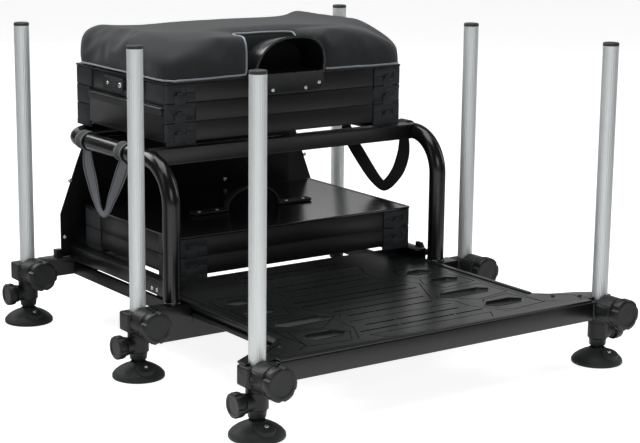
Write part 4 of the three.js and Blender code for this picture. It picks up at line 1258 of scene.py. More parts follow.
def deck_collar(x, y, half):
    """The turned-down lip round a cut-out."""
    reach = (DECK_LOW - DECK_COLLAR_DROP, DECK_TOP + DECK_COLLAR_RISE)
    collar = slab(cut_out(x, y, half, DECK_COLLAR_GROWTH), *reach)
    cut(collar, slab(cut_out(x, y, half, 0), reach[0] - MM, reach[1] + MM))
    return soften(collar, DECK_COLLAR_EDGE, 2, 40)


def deck_plate():
    """The deck's plate with its cut-outs, its moulded lines and the raised rims at its sides."""
    outline = DECK_OUTLINE + [(-x, y) for x, y in reversed(DECK_OUTLINE)]
    plate = slab(outline, DECK_LOW, DECK_TOP)
    soften(plate, sizes().edge, 3, 50)
    through = (DECK_LOW - OVERRUN, DECK_TOP + OVERRUN)
    tools = []
    rims = []
    for sign in (1, -1):
        for x, y, half in DECK_HOLES:
            tools.append(slab(cut_out(sign * x, y, half, DECK_HOLE_GROWTH), *through))
            rims.append(deck_collar(sign * x, y, half))
        leg = node_middle("front_right_leg")
        tools.append(rod(DECK_LEG_ROOM, *through, centre=(sign * leg.x, leg.y, 0)))
    cut(plate, gather(tools))
    lines = []
    for y, half, width in DECK_GROOVES:
        for start, end in GROOVE_RUNS:
            lines.append(line_cutter((half * start, y), (half * end, y), width))
    cut(plate, gather(lines))
    for sign in (1, -1):
        for line in DECK_LINES:
            ends = [(sign * x, y) for x, y in line]
            for bar in [line_cutter(a, b, DECK_LINE_WIDTH) for a, b in zip(ends, ends[1:])]:
                cut(plate, bar)
    for sign in (1, -1):
        near, far = sorted(sign * x for x in DECK_RIM_X)
        front, back = (depth(y) for y in DECK_RIM_Y)
        rim = block((near, front, DECK_TOP - DECK_RIM_RISE), (far, back, DECK_TOP + DECK_RIM_RISE))
        rims.append(soften(rim, DECK_RIM_EDGE, 3))
    return smooth(gather([plate, *rims]), 30)


class BuildFootplate(bpy.types.Operator):
    """Makes the footplate's deck with its cut-outs, moulded lines and screws"""

    bl_idname = "seat_box.footplate"
    bl_label = "Footplate"

    def execute(self, context):
        body = body_of("footplate_deck")
        dress(deck_plate(), "deck_form", body, finish("deck"), ["footplate_deck"])
        bolts = [(sign * x * MM, depth(y), DECK_TOP) for x, y in DECK_BOLTS for sign in SIDES.values()]
        screws("deck_screws", body, bolts, "Z", "deck", material="knob")
        return {"FINISHED"}


# The stacking trays

ROW = 31 * MM
TRAY_HALF = 235 * MM
CORNER = 58 * MM
CORNER_WALL = 5 * MM
PANEL_INSET = 2 * MM
CORE_INSET = 3.4 * MM
ROW_GAP = 0.7 * MM
TRAY_ROUNDING = 6 * MM
TRAY_WALL = 1.8 * MM
TRAY_FLOOR = 3 * MM
PANEL_GAP = 0.8 * MM
PANEL_DEPTH = 4 * MM
PANEL_EDGE = 0.7 * MM
BLOCK_EDGE = 0.5 * MM
PAD_EDGE = 0.35 * MM
MOULDED_EDGE = 0.8 * MM
BOARD_EDGE = 0.6 * MM
# Blocks on a corner block's outer faces as (near, far, low, high, outer, inner) in mm: near and far count from
# the corner, outer and inner from the face.
CORNER_WAISTS = [(-1, 24, 4, 24, -1, 2.9), (34, 59, 4, 24, -1, 2.9)]
CORNER_RECESSES = [(17, 41, 13, 22, -1, 3), (41, 56, 15.5, 17, -1, 2)]
CORNER_PADS = [
    (19, 39, -1.5, 13, 0.1, 3.5),
    (24, 34, 12, 17.5, 0.6, 3.5),
    (9, 58, 25.4, 26.2, 0.3, 2),
    (43, 58, 4, 4.8, 0.3, 2),
    (43, 58, 8.2, 9, 0.3, 2),
]
CORNER_FEET = [(4, 58, -7, 1.5, 0.9, 5)]
# A block starts at least this far inside a shortened side face.
SIDE_MARGIN = 8 * MM


def round_uprights(piece, radius):
    """Rounds the upright edges of the block that is being shaped."""
    choose(piece, "EDGE", lambda at, run: abs(run.z) > MM)
    bpy.ops.mesh.bevel(offset=radius, segments=6)


def on_both_faces(rows, side_far=CORNER):
    """Like blocks on both outer faces of a corner block, one pair for each row of a table."""
    made = []
    for row in rows:
        near, far, low, high, outer, inner = (value * MM for value in row)
        made.append(block((-far, outer, low), (-near, inner, high)))
        if near < side_far - SIDE_MARGIN:
            made.append(block((-inner, near, low), (-outer, min(far, side_far), high)))
    return made


def corner_row(waisted=False, footed=False, side_far=CORNER, plain_side=False):
    """One row of a corner block, with its outer corner at the origin, reaching to -x and +y."""
    face = PANEL_GAP
    shown = 0 if plain_side else side_far
    body = block((-CORNER, face, ROW_GAP), (-face, side_far, ROW - ROW_GAP))
    with shaping(body):
        choose(body, "EDGE", lambda at, run: abs(run.z) > MM and (at.xy - Vector((-face, face))).length < MM)
        bpy.ops.mesh.bevel(offset=TRAY_ROUNDING, segments=6)
    inside = block((-CORNER - MM, CORNER_WALL, -MM), (-CORNER_WALL, CORNER + MM, ROW + MM))
    recesses = CORNER_WAISTS + CORNER_RECESSES if waisted else CORNER_RECESSES
    cut(body, inside, *on_both_faces(recesses, shown))
    pads = on_both_faces(CORNER_PADS, shown)
    if footed:
        pads += on_both_faces(CORNER_FEET, side_far)
    for pad in pads:
        soften(pad, PAD_EDGE, 2)
    soften(body, BLOCK_EDGE, 2, 40)
    return smooth(gather([body, *pads]), 40)


def corner_blocks(name, body, node, bottom, kinds, left_kinds=None):
    """All corner blocks of one unit: a model for each row, and others for its left side if given."""
    low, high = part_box(node)
    made = []
    for row, kind in enumerate(kinds):
        z = bottom + row * ROW
        for flip_x in (False, True):
            for flip_y in (False, True):
                model = kind
                if flip_x and left_kinds:
                    model = left_kinds[row][flip_y]
                place = (-TRAY_HALF if flip_x else TRAY_HALF, high.y if flip_y else low.y, z)
                made.append(placed(model, place, flip_x, flip_y))
    return dress(gather(made), name, body, finish("corner"))


def panel_plates(node, bottom, rows, left_side=True):
    """The flat panels between the corner blocks, one for each row and side."""
    low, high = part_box(node)
    made = []
    for row in range(rows):
        z = (bottom + row * ROW + ROW_GAP, bottom + (row + 1) * ROW - ROW_GAP)
        run = TRAY_HALF - CORNER - PANEL_GAP
        for y, sign in ((low.y, 1), (high.y, -1)):
            near, far = sorted((y + sign * PANEL_INSET, y + sign * (PANEL_INSET + PANEL_DEPTH)))
            made.append(block((-run, near, z[0]), (run, far, z[1])))
        outside = TRAY_HALF - PANEL_INSET
        for sign in (-1, 1) if left_side else (1,):
            near, far = sorted((sign * outside, sign * (outside - PANEL_DEPTH)))
            made.append(block((near, low.y + CORNER + PANEL_GAP, z[0]), (far, high.y - CORNER - PANEL_GAP, z[1])))
    for plate in made:
        soften(plate, PANEL_EDGE, 2)
    return made


def tray_core(node, bottom, top, hollow=True):
    """The plain box behind the panels and corner blocks."""
    low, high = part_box(node)
    half = TRAY_HALF - CORE_INSET
    core = block((-half, low.y + CORE_INSET, bottom), (half, high.y - CORE_INSET, top))
    if hollow:
        with shaping(core):
            choose(core, "FACE", lambda at, normal: normal.z > 0.9)
            bpy.ops.mesh.inset(thickness=TRAY_WALL)
            push((0, 0, bottom + TRAY_FLOOR - top))
    return core


LID_BORDER = 5 * MM
LID_STEP = 0.8 * MM
LID_DISH = 0.7 * MM
# The thumb rod of the cassette's catch: its radius, its length, and how far it is in from the catch's corner.
GRIP_RADIUS = 5.5 * MM
GRIP_LENGTH = 7 * MM
GRIP_INSET = 3 * MM
GRIP_EDGE = 2 * MM
PIN_SINK = 0.2 * MM


class BuildCassette(bpy.types.Operator):
    """Makes the lower cassette with its corner blocks, its lid and its catch"""

    bl_idname = "seat_box.cassette"
    bl_label = "Lower Cassette"

    def execute(self, context):
        node = "lower_cassette"
        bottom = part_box(node)[1].z - 2 * ROW
        parts = [tray_core(node, bottom, bottom + 2 * ROW), *panel_plates(node, bottom, 2)]
        dress(smooth(gather(parts)), "cassette_form", body_of(node), finish("tray"), [node])
        right = [corner_row(footed=True), corner_row()]
        left = [corner_row(footed=True, plain_side=True), corner_row(plain_side=True)]
        both = [{False: model, True: model} for model in left]
        corner_blocks("cassette_corners", body_of(node), node, bottom, right, both)
        remove(*right, *left)
        low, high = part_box("cassette_lid")
        lid = block(low, high)
        with shaping(lid):
            round_uprights(lid, TRAY_ROUNDING)
            choose(lid, "FACE", lambda at, normal: normal.z > 0.9)
            bpy.ops.mesh.inset(thickness=LID_BORDER)
            bpy.ops.mesh.inset(thickness=LID_STEP)
            bpy.ops.transform.translate(value=(0, 0, -LID_DISH))
        soften(lid, MOULDED_EDGE, 3)
        dress(smooth(lid), "lid_form", body_of("cassette_lid"), finish("lid"), ["cassette_lid"])
        dressed("cassette_latch", "catch_form", "knob", MOULDED_EDGE, 3)
        low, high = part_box("cassette_latch")
        pin = [(high.x - PIN_SINK, (low.y + high.y) / 2, (low.z + high.z) / 2)]
        screws("catch_pin", body_of("cassette_latch"), pin, "X", "catch")
        corner = (0, low.y + GRIP_INSET, low.z + GRIP_INSET)
        grip = rod(GRIP_RADIUS, high.x - MM, high.x + GRIP_LENGTH, "X", corner)
        soften(grip, GRIP_EDGE, 4)
        dress(smooth(grip), "catch_grip", body_of("cassette_latch"), finish("knob"))
        return {"FINISHED"}


# The handle's bow as (half span, rise) in mm, outside and inside, and how far its foot is sunk in the pads.
HANDLE_BOW = ((54, 36), (50.8, 32.8))
HANDLE_HALF_WIDTH = 6.5 * MM
HANDLE_SINK = 1.6 * MM
HANDLE_PAD_X = (51 * MM, 120.5 * MM)
HANDLE_PAD_THICKNESS = 4 * MM
HANDLE_PAD_ROUNDING = 7 * MM
HANDLE_DISH = 0.9 * MM
HANDLE_BORDER = 2.4 * MM
HANDLE_EDGE = 0.9 * MM
HANDLE_PAD_EDGE = 0.7 * MM
HANDLE_SCREW_X = (70, 106)


class BuildHandle(bpy.types.Operator):
    """Makes the bowed strap handle on the cassette's lid"""

    bl_idname = "seat_box.handle"
    bl_label = "Cassette Handle"

    def execute(self, context):
        low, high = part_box("cassette_handle")
        middle = (low + high) / 2
        pad_top = low.z + HANDLE_PAD_THICKNESS
        shells = []
        for half_span, rise in HANDLE_BOW:
            shell = rod(1, -HANDLE_HALF_WIDTH, HANDLE_HALF_WIDTH, "Y", (0, 0, 0), 96)
            shell.scale = (half_span * MM, 1, rise * MM)
            shell.location = (0, middle.y, pad_top - HANDLE_SINK)
            shells.append(settle(shell))
        strap, inside = shells
        with shaping(inside):
            bpy.ops.mesh.select_all(action="SELECT")
            bpy.ops.transform.resize(value=(1, 1.5, 1), center_override=middle)
        under = block((low.x, low.y - LONG_OVERRUN, low.z - FAR), (high.x, high.y + LONG_OVERRUN, low.z))
        cut(strap, inside, under)
        soften(strap, HANDLE_EDGE, 3, 50)
        parts = [strap]
        for sign in SIDES.values():
            near, far = sorted(sign * x for x in HANDLE_PAD_X)
            pad = block((near, low.y, low.z), (far, high.y, pad_top))
            with shaping(pad):
                round_uprights(pad, HANDLE_PAD_ROUNDING)
                choose(pad, "FACE", lambda at, normal: normal.z > 0.9)
                bpy.ops.mesh.inset(thickness=HANDLE_BORDER)
                bpy.ops.transform.translate(value=(0, 0, -HANDLE_DISH))
            parts.append(soften(pad, HANDLE_PAD_EDGE, 3, 40))
        body = body_of("cassette_handle")
        dress(smooth(gather(parts), 50), "handle_form", body, finish("handle"), ["cassette_handle"])
        bed = pad_top - HANDLE_DISH
        places = [(sign * x * MM, middle.y, bed) for sign in SIDES.values() for x in HANDLE_SCREW_X]
        screws("handle_screws", body, places, "Z", "handle")
        return {"FINISHED"}


DRAWER_ROOM = 0.8 * MM
# The side drawer's pull: how far it is below the drawer's top, how high it is, how far it stands out and in.
PULL_DROP = 2.5 * MM
PULL_HEIGHT = 13 * MM
PULL_OUT = 3.4 * MM
PULL_INSET = 2 * MM
PULL_EDGE = 3 * MM


class BuildDrawerModule(bpy.types.Operator):
    """Makes the drawer module with its corner blocks and the side drawer with its pull"""

    bl_idname = "seat_box.drawer_module"
    bl_label = "Drawer Module"

    def execute(self, context):
        node = "drawer_module"
        low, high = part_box(node)
        drawer_low, drawer_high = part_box("side_drawer")
        bottom = high.z - 2 * ROW
        core = tray_core(node, bottom, high.z, hollow=False)
        bay = block(
            (-TRAY_HALF - 9 * MM, drawer_low.y - DRAWER_ROOM, drawer_low.z - DRAWER_ROOM),
            (drawer_high.x + DRAWER_ROOM, drawer_high.y + DRAWER_ROOM, drawer_high.z + DRAWER_ROOM),
        )
        cut(core, bay)
        parts = [core, *panel_plates(node, bottom, 2, left_side=False)]
        dress(smooth(gather(parts)), "module_form", body_of(node), finish("tray"), [node])
        front_far = drawer_low.y - DRAWER_ROOM - low.y
        back_far = high.y - drawer_high.y - DRAWER_ROOM
        models = {}
        for far in (CORNER, front_far, back_far):
            plain = far != CORNER
            footed = corner_row(footed=True, side_far=far, plain_side=plain)
            models[far] = (footed, corner_row(waisted=True, side_far=far, plain_side=plain))
        kinds = models[CORNER]
        left = [{False: models[front_far][row], True: models[back_far][row]} for row in (0, 1)]
        corner_blocks("module_corners", body_of(node), node, bottom, kinds, left)
        remove(*[model for pair in models.values() for model in pair])
        dressed("side_drawer", "drawer_form", "drawer", MOULDED_EDGE, 3)
        pull_top = drawer_high.z - PULL_DROP
        pull = block(
            (-TRAY_HALF - PULL_OUT, drawer_low.y + PULL_INSET, pull_top - PULL_HEIGHT),
            (-TRAY_HALF + MM, drawer_high.y - PULL_INSET, pull_top),
        )
        soften(pull, PULL_EDGE, 5)
        dress(smooth(pull), "drawer_pull", body_of("side_drawer"), finish("corner"))
        return {"FINISHED"}


# The tray's clip: where its plate's outer face is, its thickness, its pivot's and its screw's places.
CLIP_OUTER_FACE = 1.5 * MM
CLIP_THICKNESS = 3 * MM
CLIP_PIVOT_PLACE = 8 * MM
CLIP_SCREW_PLACE = 17 * MM
CLIP_DISH = 0.8 * MM
CLIP_BORDER = 2.2 * MM
CLIP_ROUNDING = 3 * MM
CLIP_HUB = 8 * MM
CLIP_EDGE = 0.5 * MM
HUB_EDGE = 0.4 * MM


class BuildTopTray(bpy.types.Operator):
    """Makes the top tray, its clip and the seat's board"""

    bl_idname = "seat_box.top_tray"
    bl_label = "Top Tray"

    def execute(self, context):
        node = "top_tray"
        low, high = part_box(node)
        bottom = high.z - ROW
        parts = [tray_core(node, low.z, high.z), *panel_plates(node, bottom, 1)]
        dress(smooth(gather(parts)), "top_tray_form", body_of(node), finish("tray"), [node])
        right, left = corner_row(), corner_row(plain_side=True)
        corner_blocks("top_tray_corners", body_of(node), node, bottom, [right], [{False: left, True: left}])
        remove(right, left)
        low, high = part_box("seat_lid")
        board = block(low, high)
        with shaping(board):
            round_uprights(board, TRAY_ROUNDING)
        soften(board, BOARD_EDGE, 2)
        dress(smooth(board), "seat_board", body_of("seat_lid"), finish("tray"), ["seat_lid"])
        self.clip()
        return {"FINISHED"}

    def clip(self):
        low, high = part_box("tray_latch")
        middle = (low + high) / 2
        face = low.x + CLIP_OUTER_FACE
        pivot_y = low.y + CLIP_PIVOT_PLACE
        plate = block((face, low.y, low.z), (face + CLIP_THICKNESS, high.y, high.z))
        with shaping(plate):
            choose(plate, "EDGE", lambda at, run: abs(run.x) > MM)
            bpy.ops.mesh.bevel(offset=CLIP_ROUNDING, segments=5)
            choose(plate, "FACE", lambda at, normal: normal.x < -0.9)
            bpy.ops.mesh.inset(thickness=CLIP_BORDER)
            bpy.ops.transform.translate(value=(CLIP_DISH, 0, 0))
        soften(plate, CLIP_EDGE, 2, 40)
        hub = rod(CLIP_HUB, face + CLIP_THICKNESS - MM, high.x, "X", (0, pivot_y, middle.z))
        clip = gather([plate, soften(hub, HUB_EDGE)])
        body = body_of("tray_latch")
        dress(smooth(clip, 50), "clip_form", body, finish("corner"), ["tray_latch"])
        bed = face + CLIP_DISH / 2
        screws("clip_screw", body, [(bed, middle.y + CLIP_SCREW_PLACE, middle.z)], "X", "clip", flip=True)
        screws("clip_pivot", body, [(bed, pivot_y, middle.z)], "X", "pivot", flip=True)


# The seat: cushion, piping and scoop

SEAT_MIDDLE_X = -5 * MM
FRONT_ROUNDING = 28 * MM
BACK_ROUNDING = 30 * MM
# How far the front corners are drawn in at the top.
CORNER_PULL = 6.5 * MM
# The cover reaches down over the edge of the seat lid.
COVER_DROP = 2.6 * MM
# Corners of the notch for the scoop, as (x, y): left front, left back, right back and right front.
NOTCH = [(-83, 61), (-62, 137), (47, 137), (66.5, 61)]
# The notch's piping as (x, y, height above the board).
NOTCH_PIPING = [
    (-84, 61.5, 3), (-84, 61, 20), (-84, 61, 38), (-85, 62.5, 52), (-84.5, 69, 60), (-81, 84, 64), (-74, 106, 65),
    (-65, 130, 65), (-62.5, 137, 65), (-56, 139, 65), (-40, 138, 65), (-20, 138, 65), (0, 138, 64), (20, 138, 63),
    (38, 138, 62), (48, 135, 60), (50, 128, 54), (51, 122, 44),
]
# The cushion before it swells: how far it is inside its box, how high it stands, and how its edges are rounded.
CUSHION_INSET = 2.5 * MM
CUSHION_HEIGHT = 56 * MM
TOP_ROUNDING = 19 * MM
FOOT_ROUNDING = 4 * MM
CLOTH_CELL = 5 * MM
CORNER_ZONE = 20 * MM
TOP_ZONE = 6 * MM
NOTCH_OVERRUN = 10 * MM
CORNER_PULL_REACH = 45 * MM
# The crown's height above the cushion's foot, in mm: in the middle, and at the left end and the right end.
CROWN_HEIGHT = 69
CROWN_BACK_FALL = 8
CROWN_SIDE_FALL = 3.5
CROWN_SIDE_REACH = 150 * MM
END_HEIGHT = 68
END_BACK_FALL = 5.5
END_MARGIN = 34 * MM
CORNER_FALL = 34
CORNER_FALL_REACH = 125 * MM
# How far the ends bulge, and the share of the half length where the bulge begins.
END_BULGE = 0.014
END_BULGE_START = 0.85
# The cloth is held below this height and beside the notch, and set free over these reaches.
HELD_HEIGHT = 3 * MM
HELD_FADE = 8 * MM
NOTCH_FADE = 12 * MM
# The piping's middle stands off the cloth by these, and its foot line has a point at least this often.
BASE_PIPING_LIFT = 0.6 * MM
NOTCH_PIPING_LIFT = 0.7 * MM
BASE_PIPING_RISE = 0.4 * MM
PIPING_STEP = 12 * MM
CLOTH_FRAMES = 20
CLOTH_SETTINGS = {
    "quality": 6,
    "mass": 0.3,
    "tension_stiffness": 12,
    "compression_stiffness": 12,
    "bending_stiffness": 5,
    "use_pressure": True,
    "uniform_pressure_force": 4,
    "shrink_min": -0.012,
    "pin_stiffness": 1,
}
# The gathers at the front corners: how far they reach back, out and up, and their waves for each radian.
GATHER_BACK = 22 * MM
GATHER_SIDE = -30 * MM
GATHER_HEIGHT = 42 * MM
GATHER_WAVES = 14
GATHER_DEPTH = 1.5 * MM
GATHER_TURN = -0.9
GATHER_SPREAD = 1.2
# The tray's clip: how far its inner face and a gap reach in, how far it rises as it turns, and room round it.
CLIP_INNER_FACE = 5.4 * MM
CLIP_RISE = 40 * MM
CLIP_ROOM = 6 * MM


def seat_crown(x, y, low, high):
    """Height of the crown's surface: lower at the back, firm at both ends, falling to the front corners."""
    half = (high.x - low.x) / 2
    end = min(abs(x) / (half - END_MARGIN), 1) ** 4
    back = (y - low.y) / (high.y - low.y)
    middle = CROWN_HEIGHT - CROWN_BACK_FALL * back - CROWN_SIDE_FALL * (x / CROWN_SIDE_REACH) ** 2
    ridge = END_HEIGHT if x > 0 else END_HEIGHT - END_BACK_FALL * back
    away = math.hypot(half - abs(x), y - low.y) / CORNER_FALL_REACH
    fall = CORNER_FALL * max(0, 1 - away) ** 1.5
    return low.z + (middle * (1 - end) + ridge * end - fall) * MM


def cushion_start():
    """The padded seat before its cloth swells: a rounded block, cut for the scoop and crowned."""
    low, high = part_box("cushion")
    inset = CUSHION_INSET
    base, flat_top = low.z - COVER_DROP, low.z + CUSHION_HEIGHT
    pad = block((low.x + inset, low.y + inset, base), (high.x - inset, high.y - inset, flat_top))
    with shaping(pad):
        choose(pad, "EDGE", lambda at, run: abs(run.z) > MM and at.y < low.y + CORNER_ZONE)
        bpy.ops.mesh.bevel(offset=FRONT_ROUNDING, segments=9)
        choose(pad, "EDGE", lambda at, run: abs(run.z) > MM and at.y > high.y - CORNER_ZONE)
        bpy.ops.mesh.bevel(offset=BACK_ROUNDING, segments=8)
        choose(pad, "EDGE", lambda at, run: at.z > flat_top - TOP_ZONE)
        bpy.ops.mesh.bevel(offset=TOP_ROUNDING, segments=7, profile=0.5)
        choose(pad, "EDGE", lambda at, run: at.z < low.z + MM)
        bpy.ops.mesh.bevel(offset=FOOT_ROUNDING, segments=3)
    (left, front), (left_back, back), (right_back, _), (right, _) = NOTCH
    outline = [(left - 2, front - 20), (left - 1, front), (left_back - 2, back + 2)]
    outline += [(right_back + 2, back + 2), (right, front), (right, front - 20)]
    cut(pad, slab(outline, low.z - NOTCH_OVERRUN, high.z + NOTCH_OVERRUN))
    remesh = pad.modifiers.new("even", "REMESH")
    remesh.mode = "VOXEL"
    remesh.voxel_size = CLOTH_CELL
    take(pad)
    bpy.ops.object.modifier_apply(modifier=remesh.name)
    for point in pad.data.vertices:
        share = max(0, (point.co.z - base) / (flat_top - base))
        crown = seat_crown(point.co.x, point.co.y, low, high) - inset
        point.co.z = base + share * (crown - base)
        near = max(0, 1 - math.hypot(high.x - abs(point.co.x), point.co.y - low.y) / CORNER_PULL_REACH)
        pull = CORNER_PULL * near * share
        point.co.x -= math.copysign(pull, point.co.x)
        point.co.y += pull
        side = max(0, (abs(point.co.x) - END_BULGE_START * high.x) / ((1 - END_BULGE_START) * high.x))
        point.co.x *= 1 + END_BULGE * side * math.sin(math.pi * share**0.8)
    with shaping(pad):
        bpy.ops.mesh.select_all(action="SELECT")
        bpy.ops.mesh.vertices_smooth(factor=0.5, repeat=3)
    return pad


def near_notch(at):
    """How close a point is to the notch's walls, from 1 on them to 0 at the end of their reach."""
    (left, front), (left_back, back), (right_back, _), (right, _) = NOTCH
    run = max(0, min((at.y - depth(front)) / ((back - front) * MM), 1))
    beside = max((left + (left_back - left) * run) * MM - at.x, at.x - (right + (right_back - right) * run) * MM)
    away = max(beside, at.y - depth(back))
    return max(0, min(1, 1 - away / NOTCH_FADE))


def swell(pad):
    """Lets the cloth swell against its seams, with the bottom and the seams held."""
    low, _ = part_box("cushion")
    held = pad.vertex_groups.new(name="held")
    for point in pad.data.vertices:
        height = point.co.z - low.z
        share = max(0, min(1, 1 - (height - HELD_HEIGHT) / HELD_FADE))
        share = max(share, near_notch(point.co))
        if share > 0:
            held.add([point.index], share, "REPLACE")
    cloth = pad.modifiers.new("cloth", "CLOTH")
    for setting, value in CLOTH_SETTINGS.items():
        setattr(cloth.settings, setting, value)
    cloth.settings.vertex_group_mass = held.name
    cloth.settings.effector_weights.gravity = 0
    cloth.point_cache.frame_start = 1
    cloth.point_cache.frame_end = CLOTH_FRAMES
    scene = bpy.context.scene
    starts = [point.co.copy() for point in pad.data.vertices]
    for number in range(1, CLOTH_FRAMES + 1):
        scene.frame_set(number)
    take(pad)
    bpy.ops.object.modifier_apply(modifier=cloth.name)
    scene.frame_set(1)
    most = sizes().cloth_lift
    for point, start in zip(pad.data.vertices, starts):
        move = point.co - start
        if move.length > most:
            point.co = start + move.normalized() * most
    pad.vertex_groups.clear()
    with shaping(pad):
        bpy.ops.mesh.select_all(action="SELECT")
        bpy.ops.mesh.vertices_smooth(factor=0.5, repeat=4)


def gather_front_corner(pad):
    """Small gathers where the cloth turns under at the front corners."""
    low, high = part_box("cushion")
    for point in pad.data.vertices:
        at = point.co
        for sign in SIDES.values():
            corner = Vector((sign * (high.x - FRONT_ROUNDING), low.y + FRONT_ROUNDING))
            away = at.xy - corner
            if away.x * sign < GATHER_SIDE or away.y > GATHER_BACK or at.z > low.z + GATHER_HEIGHT:
                continue
            turn = math.atan2(away.y, away.x * sign)
            fade = max(0, 1 - (at.z - low.z) / GATHER_HEIGHT) * max(0, 1 - abs(turn - GATHER_TURN) / GATHER_SPREAD)
            fold = math.sin(turn * GATHER_WAVES) * GATHER_DEPTH * fade
            at.x += fold * away.normalized().x
            at.y += fold * away.normalized().y


def clear_clip(pad):
    """Keeps the cushion's side off the tray's clip, which turns up beside it."""
    low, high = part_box("tray_latch")
    for point in pad.data.vertices:
        at = point.co
        if low.y - CLIP_ROOM < at.y < high.y + CLIP_ROOM and at.z < high.z + CLIP_RISE:
            at.x = max(at.x, low.x + CLIP_INNER_FACE)


def cord_along(points, radius, closed=False):
    """A round cord through a list of points, as a mesh."""
    deselect()
    bpy.ops.curve.primitive_nurbs_path_add()
    cord = bpy.context.object
    curve = cord.data
    curve.splines.clear()
    line = curve.splines.new("POLY")
    line.points.add(len(points) - 1)
    for slot, point in zip(line.points, points):
        slot.co = (*point, 1)
    line.use_cyclic_u = closed
    curve.bevel_depth = radius
    curve.bevel_resolution = 3
    curve.use_fill_caps = not closed
    take(cord)
    bpy.ops.object.convert(target="MESH")
    return settle(bpy.context.object)


def smooth_line(points, steps, closed=False):
    """A line through points, rounded by Catmull-Rom steps."""
    count = len(points)
    spans = count if closed else count - 1
    made = []
    for span in range(spans):
        picks = []
        for shift in (-1, 0, 1, 2):
            index = span + shift
            picks.append(points[index % count if closed else max(0, min(index, count - 1))])
        a, b, c, d = (Vector(pick) for pick in picks)
        for step in range(steps):
            t = step / steps
            bend = (2 * a - 5 * b + 4 * c - d) * t**2 + (3 * b - a - 3 * c + d) * t**3
            made.append(0.5 * (2 * b + (c - a) * t + bend))
    if not closed:
        made.append(Vector(points[-1]))
    return made


def onto(pad, point, lift):
    """The nearest place on a piece's surface, raised off it by a lift."""
    found, at, normal, _ = pad.closest_point_on_mesh(point)
    return at + normal * lift if found else Vector(point)


def base_piping(pad):
    """The piping round the foot of the cushion, open at the notch."""
    low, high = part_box("cushion")
    z = low.z + BASE_PIPING_RISE
    corners = [(1, -1, -90), (1, 1, 0), (-1, 1, 90), (-1, -1, 180)]
    line = [Vector(((NOTCH[3][0] + 2) * MM, low.y, z))]
    for side, end, start in corners:
        radius = FRONT_ROUNDING if end < 0 else BACK_ROUNDING
        x = side * (high.x - radius)
        y = low.y + radius if end < 0 else high.y - radius
        for step in range(0, 91, 10):
            turn = math.radians(start + step)
            line.append(Vector((x + radius * math.cos(turn), y + radius * math.sin(turn), z)))
    line.append(Vector(((NOTCH[0][0] - 2) * MM, low.y, z)))
    dense = []
    for a, b in zip(line, line[1:]):
        count = max(1, int((b - a).length / PIPING_STEP))
        dense += [a.lerp(b, step / count) for step in range(count)]
    dense.append(line[-1])
    return cord_along([onto(pad, point, BASE_PIPING_LIFT) for point in dense], sizes().piping_radius)


def notch_piping(pad):
    """The piping up the notch's left front edge and round its rim, down to where the scoop hides it."""
    low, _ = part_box("cushion")
    line = [(x * MM, depth(y), low.z + z * MM) for x, y, z in NOTCH_PIPING]
    dense = smooth_line(line, 5)
    return cord_along([onto(pad, point, NOTCH_PIPING_LIFT) for point in dense], sizes().piping_radius)


class BuildCushion(bpy.types.Operator):
    """Makes the padded seat from swelling cloth, with its piping"""

    bl_idname = "seat_box.cushion"
    bl_label = "Cushion"

    def execute(self, context):
        pad = cushion_start()
        swell(pad)
        gather_front_corner(pad)
        clear_clip(pad)
        take(pad)
        finer = pad.modifiers.new("finer", "SUBSURF")
        finer.levels = finer.render_levels = 1
        bpy.ops.object.modifier_apply(modifier=finer.name)
        low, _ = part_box("cushion")
        for point in pad.data.vertices:
            point.co.z = max(point.co.z, low.z - COVER_DROP)
        bpy.ops.object.shade_smooth()
        dress(pad, "cushion_cover", body_of("cushion"), finish("cloth"), ["cushion"])
        cords = gather([base_piping(pad), notch_piping(pad)])
        dress(smooth(cords, 60), "cushion_piping", body_of("cushion"), finish("piping"))
        return {"FINISHED"}


SCOOP_HALF = 69.5 * MM
SCOOP_RISE = 63 * MM
SCOOP_BACK_SHARE = 0.84
SCOOP_SQUARENESS = 2.5
SCOOP_SWAY = 9 * MM
SCOOP_LEAN = 6 * MM
SCOOP_WALL = 3 * MM
# The hood's rim stands out in front of the scoop's box by this, and its hollow starts further out still.
SCOOP_FLARE = 3 * MM
SCOOP_OVERRUN = 4 * MM
SCOOP_EDGE = 0.9 * MM
# how far the sheet of painted shade stands inside the hood's wall
SHADE_SHEET_GAP = 0.3 * MM
APRON_EDGE = 0.8 * MM
SCOOP_SCREW_SINK = 1.2 * MM
APRON_HALF = 70 * MM
APRON_THICKNESS = 8.7 * MM
APRON_ROUNDING = 15 * MM
APRON_BORDER = 3 * MM
APRON_DISH = 0.9 * MM
# The scoop's screws as (x from the seat's middle, height above the apron's foot), in mm.
SCOOP_SCREWS = [(-61, 13), (-31, 6), (34, 6), (61, 13)]


def hood(front, back, floor, inset=0.0):
    """Half of a cone with a flattened arch for a mouth, whose top leans forward and to the right."""
    deselect()
    bpy.ops.mesh.primitive_cylinder_add(
        vertices=72, radius=1, depth=back - front, location=(0, (front + back) / 2, 0), rotation=ALONG["Y"]
    )
    form = settle(bpy.context.object)
    middle = (front + back) / 2
    with shaping(form):
        for share, test in ((1, lambda y: y < middle), (SCOOP_BACK_SHARE, lambda y: y > middle)):
            choose(form, "VERT", lambda at, _: test(at.y))
            bpy.ops.transform.resize(
                value=(SCOOP_HALF * share - inset, 1, SCOOP_RISE * share - inset), center_override=(0, 0, 0)
            )
    for point in form.data.vertices:
        at = point.co
        share = 1 if at.y < middle else SCOOP_BACK_SHARE
        half, rise = SCOOP_HALF * share - inset, SCOOP_RISE * share - inset
        across, up = at.x / half, at.z / rise
        across = math.copysign(abs(across) ** (2 / SCOOP_SQUARENESS), across)
        up = math.copysign(abs(up) ** (2 / SCOOP_SQUARENESS), up)
        height = up * rise / SCOOP_RISE
        at.x = SEAT_MIDDLE_X + across * half + SCOOP_SWAY * height
        at.y -= SCOOP_LEAN * height
        at.z = floor + up * rise
    return form


